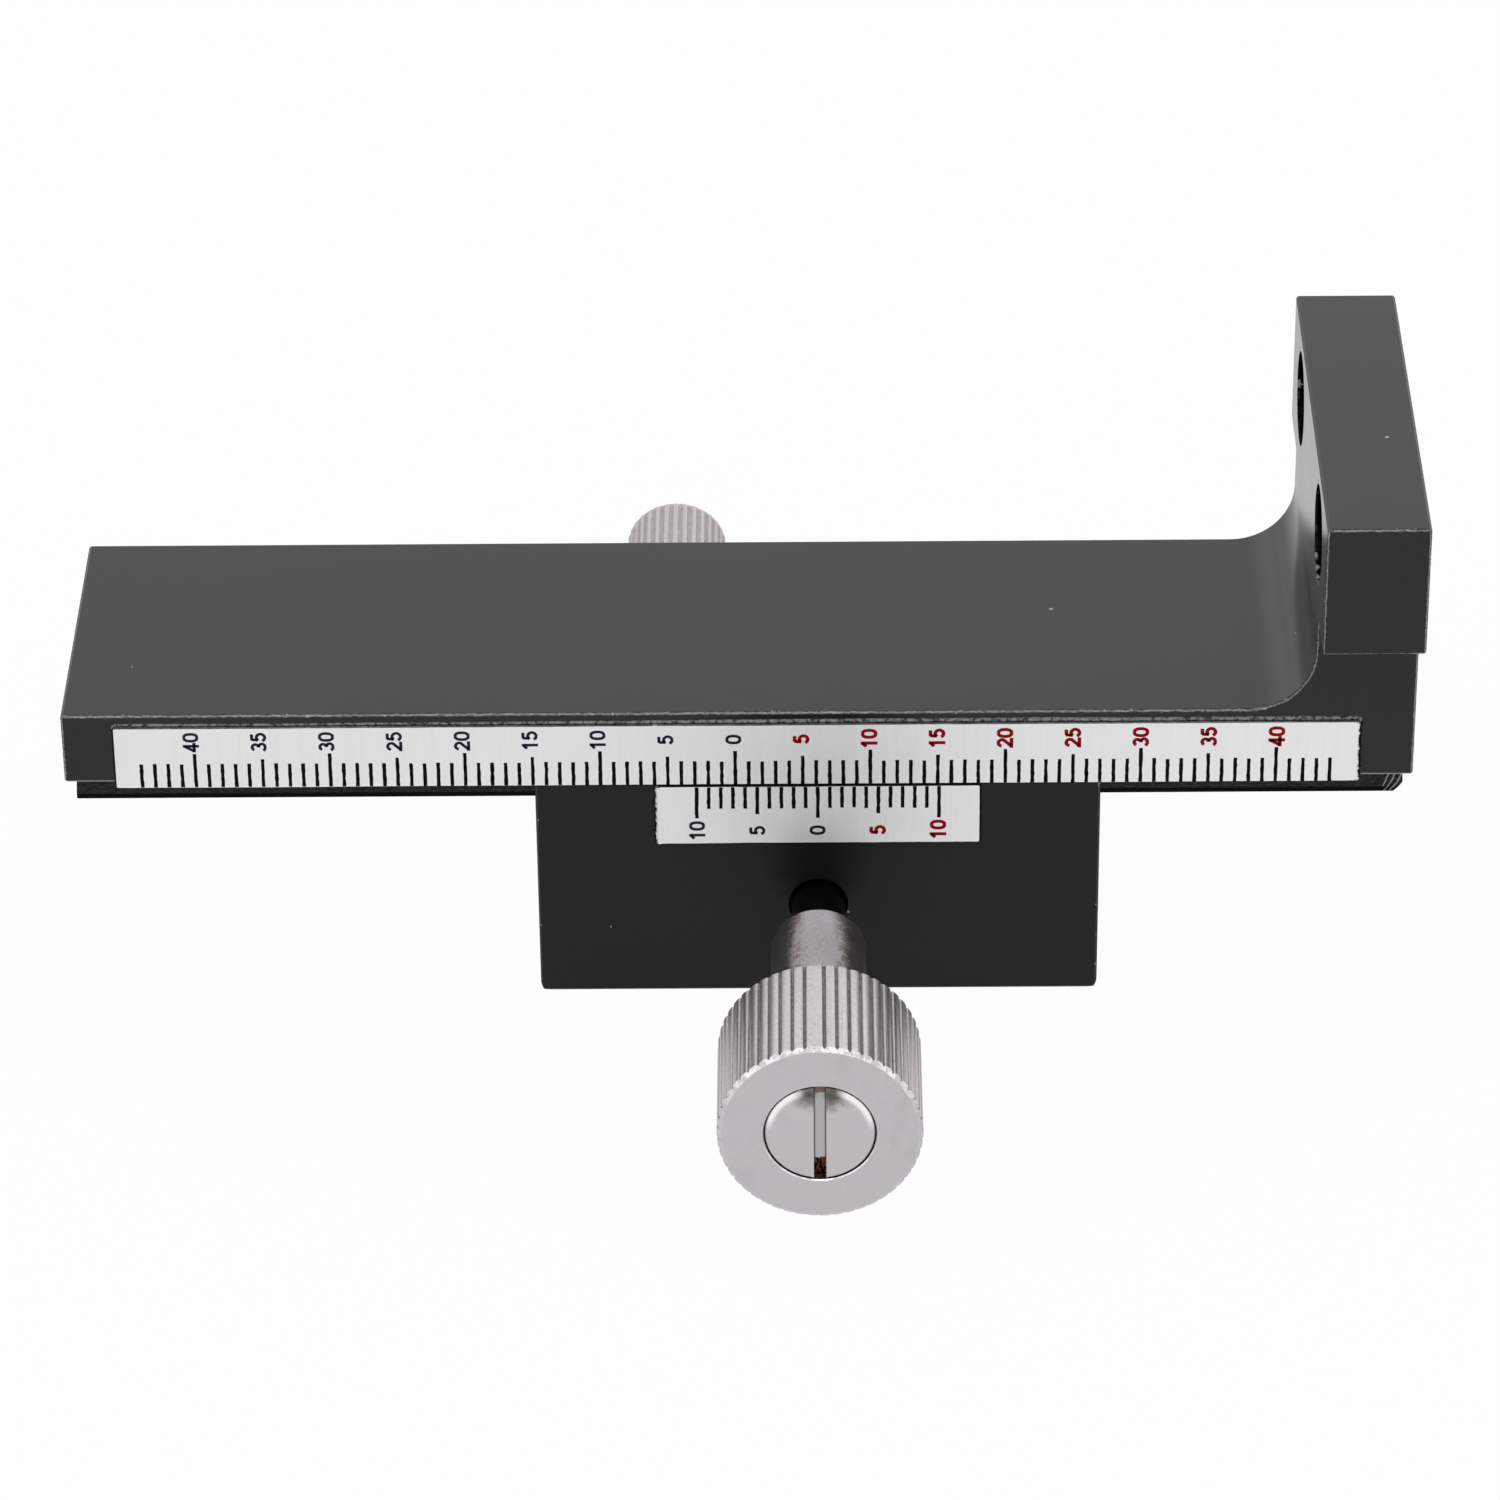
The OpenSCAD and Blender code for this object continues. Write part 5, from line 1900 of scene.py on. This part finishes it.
@dataclass
class DrivePart:
    """What turns with the drive knob.

    Attributes:
        finishes: The stage's finishes, with the sizes that they share.
        neck_radius: Radius of the knob's neck.
        neck_chamfer: Chamfer at the neck's rear end.
        neck_front: Distance of an extra ring on the neck from that end, which keeps its shading even.
        bore_radius: Radius of the knob's bore.
        screw_radius: Radius of the screw's hole.
        shaft_step: Depth of that hole.
        recess_radius: Radius of the recess for the screw's head.
        recess_depth: Its depth.
        recess_chamfer: Chamfer at its edge.
        chamfer: How much smaller than the ridges the head's end faces are, in radius.
        slope: Length of that chamfer for each millimetre.
        fillet: Fillet between neck and head.
        head_edge: Radius of the screw head's rounded edge.
        head_dome: Rise of its dome.
        head_back: Distance of its back from the knob's face.
        sunk: How far the dome's middle lies behind the knob's face.
        burr: Height of the burr along the slot, with its middle and width beside the slot.
        wall_slope: How much wider the slot is at its top than at its floor, on each side.
        shank_radius: Radius of the screw's shank.
        shank_chamfer: Chamfer at its tip.
        seated: How far the shank reaches into the head.
    """

    finishes: Finishes
    neck_radius: float = 3.5
    neck_chamfer: float = 0.25
    neck_front: float = 4.0
    bore_radius: float = 2.02
    screw_radius: float = 1.3
    shaft_step: float = 1.2
    recess_radius: float = 4.05
    recess_depth: float = 2.05
    recess_chamfer: float = 0.08
    chamfer: float = 0.34
    slope: float = 0.8
    fillet: float = 0.12
    head_edge: float = 0.2
    head_dome: float = 0.36
    head_back: float = 1.88
    sunk: float = 0.03
    burr: tuple[float, float, float] = (0.03, 0.02, 0.05)
    wall_slope: float = 0.012
    shank_radius: float = 1.24
    shank_chamfer: float = 0.25
    seated: float = 0.05

    def knob(self) -> TurnedKnob:
        """Returns the drive knob: bore, neck, knurled head, face and recess.

        Returns:
            The knob's shape.
        """
        low, high = box_mm("drive_knob")
        face, rear = low[1], high[1]
        back = face + self.finishes.head.length
        floor = face + self.recess_depth
        knurl = Knurl(50, (high[0] - low[0]) / 2, 0.21, 0.32, 0.05, wide_share=1.55, wide_angle=-0.047)
        before = [
            (self.bore_radius, rear),
            (self.neck_radius - self.neck_chamfer, rear),
            (self.neck_radius, rear - self.neck_chamfer),
            (self.neck_radius, rear - self.neck_front),
            (self.neck_radius, back + self.fillet),
            (self.neck_radius + self.fillet, back),
        ]
        after = [
            (self.recess_radius + self.recess_chamfer, face),
            (self.recess_radius, face + self.recess_chamfer),
            (self.recess_radius, floor),
            (self.screw_radius, floor),
            (self.screw_radius, floor + self.shaft_step),
            (self.bore_radius, floor + self.shaft_step),
        ]
        chamfer = (self.chamfer, self.slope)
        return TurnedKnob("drive_knob", knurl, before, back, face, *chamfer, after, closed=True, soiled=0.12)

    def screw_head(self) -> Object:
        """Makes the slotted head: upright chords of a disc, each run over the dome and back below it.

        A chord's points are spread evenly between the rim's two crossings. The front lies back from
        the dome's middle by the dome's rise times the squared radius share, plus a round edge near
        the rim. Between the slot's walls it lies on the slot's floor.

        Returns:
            The head.
        """
        low, high = box_mm("knob_screw")
        centre = (low + high) / 2
        rim, half = self.finishes.head.rim, self.finishes.head.slot / 2
        outer = rim * np.sin(np.linspace(np.arcsin(half / rim), np.pi / 2, 26))
        beside = np.concatenate([[half - 0.004, half, half + self.wall_slope], outer[1:]])
        x = np.concatenate([-beside[::-1], np.linspace(-half, half, 7)[1:-1], beside])
        in_slot = np.abs(x) < half - 0.001
        z = np.sin(np.linspace(-np.pi / 2, np.pi / 2, 41))[:, None] * np.sqrt(np.maximum(rim**2 - x**2, 0))
        radius = np.minimum(np.hypot(x, z), rim)
        into_edge = np.maximum(radius - (rim - self.head_edge), 0)
        rounding = self.head_edge - np.sqrt(self.head_edge**2 - into_edge**2)
        drop = self.head_dome * (radius / rim) ** 2 + rounding
        height, middle, width = self.burr
        burr = height * np.exp(-(((np.abs(x) - half - middle) / width) ** 2))
        dome = low[1] + self.sunk + drop - burr * (drop > self.sunk)
        front = np.where(in_slot, low[1] + self.finishes.head.slot_depth, dome)
        back = np.full(z.shape, low[1] + self.head_back)
        flat = np.concatenate([z, z[::-1]])
        x = np.broadcast_to(x, flat.shape)
        points = np.stack([centre[0] + x, np.concatenate([front, back]), centre[2] + flat], axis=-1)
        return Surface("knob_screw_head", points, wrap_columns=False, weld=True, crease_deg=30).build()

    def screw_shank(self) -> Object:
        """Makes the shank: a circle carried along the axis, with a chamfered tip.

        Returns:
            The shank.
        """
        low, high = box_mm("knob_screw")
        start, tip = low[1] + self.head_back - self.seated, high[1]
        angle = np.linspace(0, 2 * np.pi, 32, endpoint=False)
        outer, cut = self.shank_radius, self.shank_chamfer
        radius = np.array([0.0, outer, outer, outer - cut, 0.0])[:, None]
        y = np.array([start, start, tip - cut, tip, tip])[:, None]
        points = turned("knob_screw", radius, y, angle)
        return Surface("knob_screw_shank", points, wrap_rows=False, weld=True).build()

    def build(self) -> None:
        """Makes the knob and its screw and dresses the rest of the drive."""
        place_piece(self.knob().build(), "drive", "knob_steel", self.finishes.knob, "drive_knob")
        place_piece(self.screw_head(), "drive", "screw_steel", self.finishes.screw, "knob_screw")
        place_piece(self.screw_shank(), "drive", "screw_steel", self.finishes.pin)
        dress_nodes(
            pinion_shaft=self.finishes.black_steel,
            pinion_gear=self.finishes.brass,
            pinion_pin=self.finishes.pin,
            thrust_washer=self.finishes.brass,
            spring_washer=self.finishes.plain,
            e_clip=self.finishes.black_steel,
        )


@dataclass
class LockPart:
    """The lock screw behind the slide, with its pad.

    Attributes:
        finishes: The stage's finishes.
        collar_radius: Radius of the knob's collar.
        collar_length: Its length.
        edge: Chamfer of collar and bore.
        fillet: Fillet between collar and head.
        play: Gap between stud and bore.
        chamfer: How much smaller than the ridges the head's end faces are, in radius.
        dimple: Depth of the dimple in the rear face.
        dimple_shares: Radius of the dimple's edge and floor, as shares of the knob's.
        thread_pitch: Pitch of the stud's thread.
        thread_depth: Its depth.
        tip: How much smaller than the thread's root the stud's ends are, in radius.
    """

    finishes: Finishes
    collar_radius: float = 2.5
    collar_length: float = 2.0
    edge: float = 0.2
    fillet: float = 0.1
    play: float = 0.03
    chamfer: float = 0.14
    dimple: float = 0.25
    dimple_shares: tuple[float, float] = (0.62, 0.56)
    thread_pitch: float = 0.5
    thread_depth: float = 0.27
    tip: float = 0.1

    def knob(self) -> TurnedKnob:
        """Returns the lock knob: blind bore, collar, knurled head and a shallow dimple behind.

        Returns:
            The knob's shape.
        """
        low, high = box_mm("lock_knob")
        stud_low, stud_high = box_mm("lock_stud")
        bore = (stud_high[0] - stud_low[0]) / 2 + self.play
        front, rear = low[1], high[1]
        head = front + self.collar_length
        radius = (high[0] - low[0]) / 2
        knurl = Knurl(32, radius, 0.08, 0.52, 0.30, crown=0.015, seed=8)
        before = [
            (0.0, stud_high[1] + 0.1),
            (bore, stud_high[1] + 0.1),
            (bore, front + self.edge),
            (bore + self.edge, front),
            (self.collar_radius - self.edge, front),
            (self.collar_radius, front + self.edge),
            (self.collar_radius, head - self.fillet),
            (self.collar_radius + self.fillet, head),
        ]
        wide, narrow = self.dimple_shares
        after = [(radius * wide, rear), (radius * narrow, rear - self.dimple), (0.0, rear - self.dimple)]
        return TurnedKnob("lock_knob", knurl, before, head, rear, self.chamfer, 1.0, after, closed=False)

    def stud(self) -> Object:
        """Makes the threaded stud: its radius falls and rises once for each pitch along a helix.

        Returns:
            The stud.
        """
        low, high = box_mm("lock_stud")
        outer = (high[0] - low[0]) / 2
        angle = np.linspace(0, 2 * np.pi, 36, endpoint=False)
        y = np.linspace(low[1], high[1], int((high[1] - low[1]) / self.thread_pitch * 8))[:, None]
        turn = (y / self.thread_pitch - angle / (2 * np.pi)) % 1
        cut = self.thread_depth * smooth_step(1 - np.abs(2 * turn - 1), 0.1, 0.85)
        from_end = np.minimum(y - low[1], high[1] - y)
        radius = np.minimum(outer - cut, outer - self.thread_depth - self.tip + from_end)
        radius = np.pad(radius, ((1, 1), (0, 0)))
        points = turned("lock_stud", radius, np.concatenate([y[:1], y, y[-1:]]), angle)
        return Surface("lock_stud_piece", points, wrap_rows=False, weld=True, crease_deg=50).build()

    def build(self) -> None:
        """Makes the knob and the stud and dresses the pad."""
        place_piece(self.knob().build(), "lock_screw", "lock_steel", self.finishes.lock, "lock_knob")
        place_piece(self.stud(), "lock_screw", "lock_steel", self.finishes.thread, "lock_stud")
        dress_nodes(lock_pad=self.finishes.brass)


@dataclass
class Studio:
    """A white floor, an even white surround and soft lamps.

    Attributes:
        floor_size: Side of the floor in metres.
        floor_glow: Share of plain white in what the camera sees of the floor.
        floor_mirrored: The same share in reflections of the floor near the stage.
        floor_far: The same share in reflections of the floor far behind the stage.
        far_from: Distance behind the stage from which the reflected floor darkens.
        far_to: Distance at which it has darkened.
        surround: Strength of the light from all around.
        lamps: Place and side in metres, and power in watts, of each named lamp.
    """

    floor_size: float = 6.0
    floor_glow: float = 0.975
    floor_mirrored: float = 0.75
    floor_far: float = 0.45
    far_from: float = 70.0
    far_to: float = 170.0
    surround: float = 0.62
    lamps: tuple[tuple[str, tuple[float, float, float], float, float], ...] = (
        ("lamp_behind", (-0.16, 0.85, 0.60), 0.9, 0.5),
        ("lamp_left", (-0.42, 0.80, 0.42), 0.35, 0.05),
        ("lamp_right", (0.42, 0.80, 0.42), 0.35, 0.25),
        ("lamp_above", (-0.06, -0.38, 0.62), 0.25, 0.3),
    )

    @staticmethod
    def seen_directly(tree: Tree) -> Value:
        """Returns 1 for what the camera, a reflection or glass sees, and 0 for other light."""
        path = tree.node("ShaderNodeLightPath").outputs
        return Value(tree, path["Is Camera Ray"]) | path["Is Glossy Ray"] | path["Is Transmission Ray"]

    def floor(self) -> None:
        """Makes the floor: nearly plain white to the camera, so that only a faint shadow stays."""
        half = self.floor_size / 2 / MM
        corners = np.array([[-half, -half, 0], [half, -half, 0], [half, half, 0], [-half, half, 0]])
        piece = new_object("floor", corners, np.array([[0, 1, 2, 3]]))
        material = bpy.data.materials.new("floor_white")
        tree = Tree.of(material)
        plain = tree.out(0, "ShaderNodeBsdfDiffuse", {"Color": grey(0.9)})
        glow = tree.out(0, "ShaderNodeEmission", {"Color": grey(1.0), "Strength": 1.0})
        camera_ray = tree.out("Is Camera Ray", "ShaderNodeLightPath")
        behind = tree.parts(tree.place())[1]
        mirrored = tree.span(behind, self.far_from, self.far_to, self.floor_mirrored, self.floor_far)
        share = self.seen_directly(tree) * tree.blend(camera_ray, mirrored, self.floor_glow)
        mixed = tree.out(0, "ShaderNodeMixShader", {0: share, 1: plain, 2: glow})
        tree.node("ShaderNodeOutputMaterial", {"Surface": mixed})
        piece.data.materials.append(material)

    def world(self) -> None:
        """Makes the surround: white where it is seen, weaker where it only lights."""
        world = bpy.data.worlds.new("surround")
        tree = Tree.of(world)
        strength = tree.blend(self.seen_directly(tree), self.surround, 1.0)
        glow = tree.out(0, "ShaderNodeBackground", {"Color": grey(1.0), "Strength": strength})
        tree.node("ShaderNodeOutputWorld", {"Surface": glow})
        bpy.context.scene.world = world

    def lamp(self, name: str, place: tuple[float, float, float], size: float, power: float) -> None:
        """Makes a square soft lamp that faces the stage.

        Args:
            name: Name of the lamp.
            place: Its place in metres.
            size: Its side in metres.
            power: Its power in watts.
        """
        light = bpy.data.lights.new(name, "AREA")
        light.shape = "SQUARE"
        light.size = size
        light.energy = power
        lamp = bpy.data.objects.new(name, light)
        bpy.context.scene.collection.objects.link(lamp)
        aim = Matrix.Translation(place).to_translation()
        lamp.location = aim
        lamp.rotation_euler = aim.to_track_quat("Z", "Y").to_euler()

    def build(self) -> None:
        """Makes the floor, the surround and the lamps."""
        self.floor()
        self.world()
        for lamp in self.lamps:
            self.lamp(*lamp)
        log.info("studio ready")


@dataclass
class PhotoCamera:
    """The camera that took the photograph, as fitted to the stage's edges and scale marks.

    Attributes:
        frame_px: Side of the photograph in pixels.
        focal_px: Focal length in pixels.
        yaw_deg: Turn of the view to the right of the Y axis.
        pitch_deg: Tilt of the view below level.
        roll_deg: Turn of the frame about the view.
        place: Place of the lens in millimetres.
        sensor: Side of the sensor in millimetres.
    """

    frame_px: float = 1500.0
    focal_px: float = 6743.382
    yaw_deg: float = -0.608
    pitch_deg: float = 32.178
    roll_deg: float = -0.662
    place: tuple[float, float, float] = (-0.514, -434.721, 287.114)
    sensor: float = 36.0

    def build(self) -> None:
        """Makes the camera from its forward, right and up directions."""
        yaw, pitch, roll = (math.radians(angle) for angle in (self.yaw_deg, self.pitch_deg, self.roll_deg))
        along = math.cos(pitch)
        forward = np.array([math.sin(yaw) * along, math.cos(yaw) * along, -math.sin(pitch)])
        level = np.array([math.cos(yaw), -math.sin(yaw), 0.0])
        upright = np.cross(level, forward)
        right = math.cos(roll) * level + math.sin(roll) * upright
        up = -math.sin(roll) * level + math.cos(roll) * upright
        turn = Matrix(np.stack([right, up, -forward], axis=1).tolist()).to_4x4()
        data = bpy.data.cameras.new("photo_camera")
        data.sensor_fit = "HORIZONTAL"
        data.sensor_width = self.sensor
        data.lens = self.focal_px / self.frame_px * self.sensor
        data.clip_start = 0.01
        data.clip_end = 20.0
        camera = bpy.data.objects.new("photo_camera", data)
        camera.matrix_world = Matrix.Translation([value * MM for value in self.place]) @ turn
        bpy.context.scene.collection.objects.link(camera)
        bpy.context.scene.camera = camera
        log.info("camera ready")


def main() -> None:
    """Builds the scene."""
    logging.basicConfig(level=logging.INFO, format="%(name)s: %(message)s")
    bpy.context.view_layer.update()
    bpy.context.scene.view_settings.view_transform = "Standard"
    PhotoCamera().build()
    Studio().build()
    finishes = Finishes()
    for part in (SlidePart(finishes), CarriagePart(finishes), DrivePart(finishes), LockPart(finishes)):
        part.build()
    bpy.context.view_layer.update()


if __name__ == "__main__":
    main()
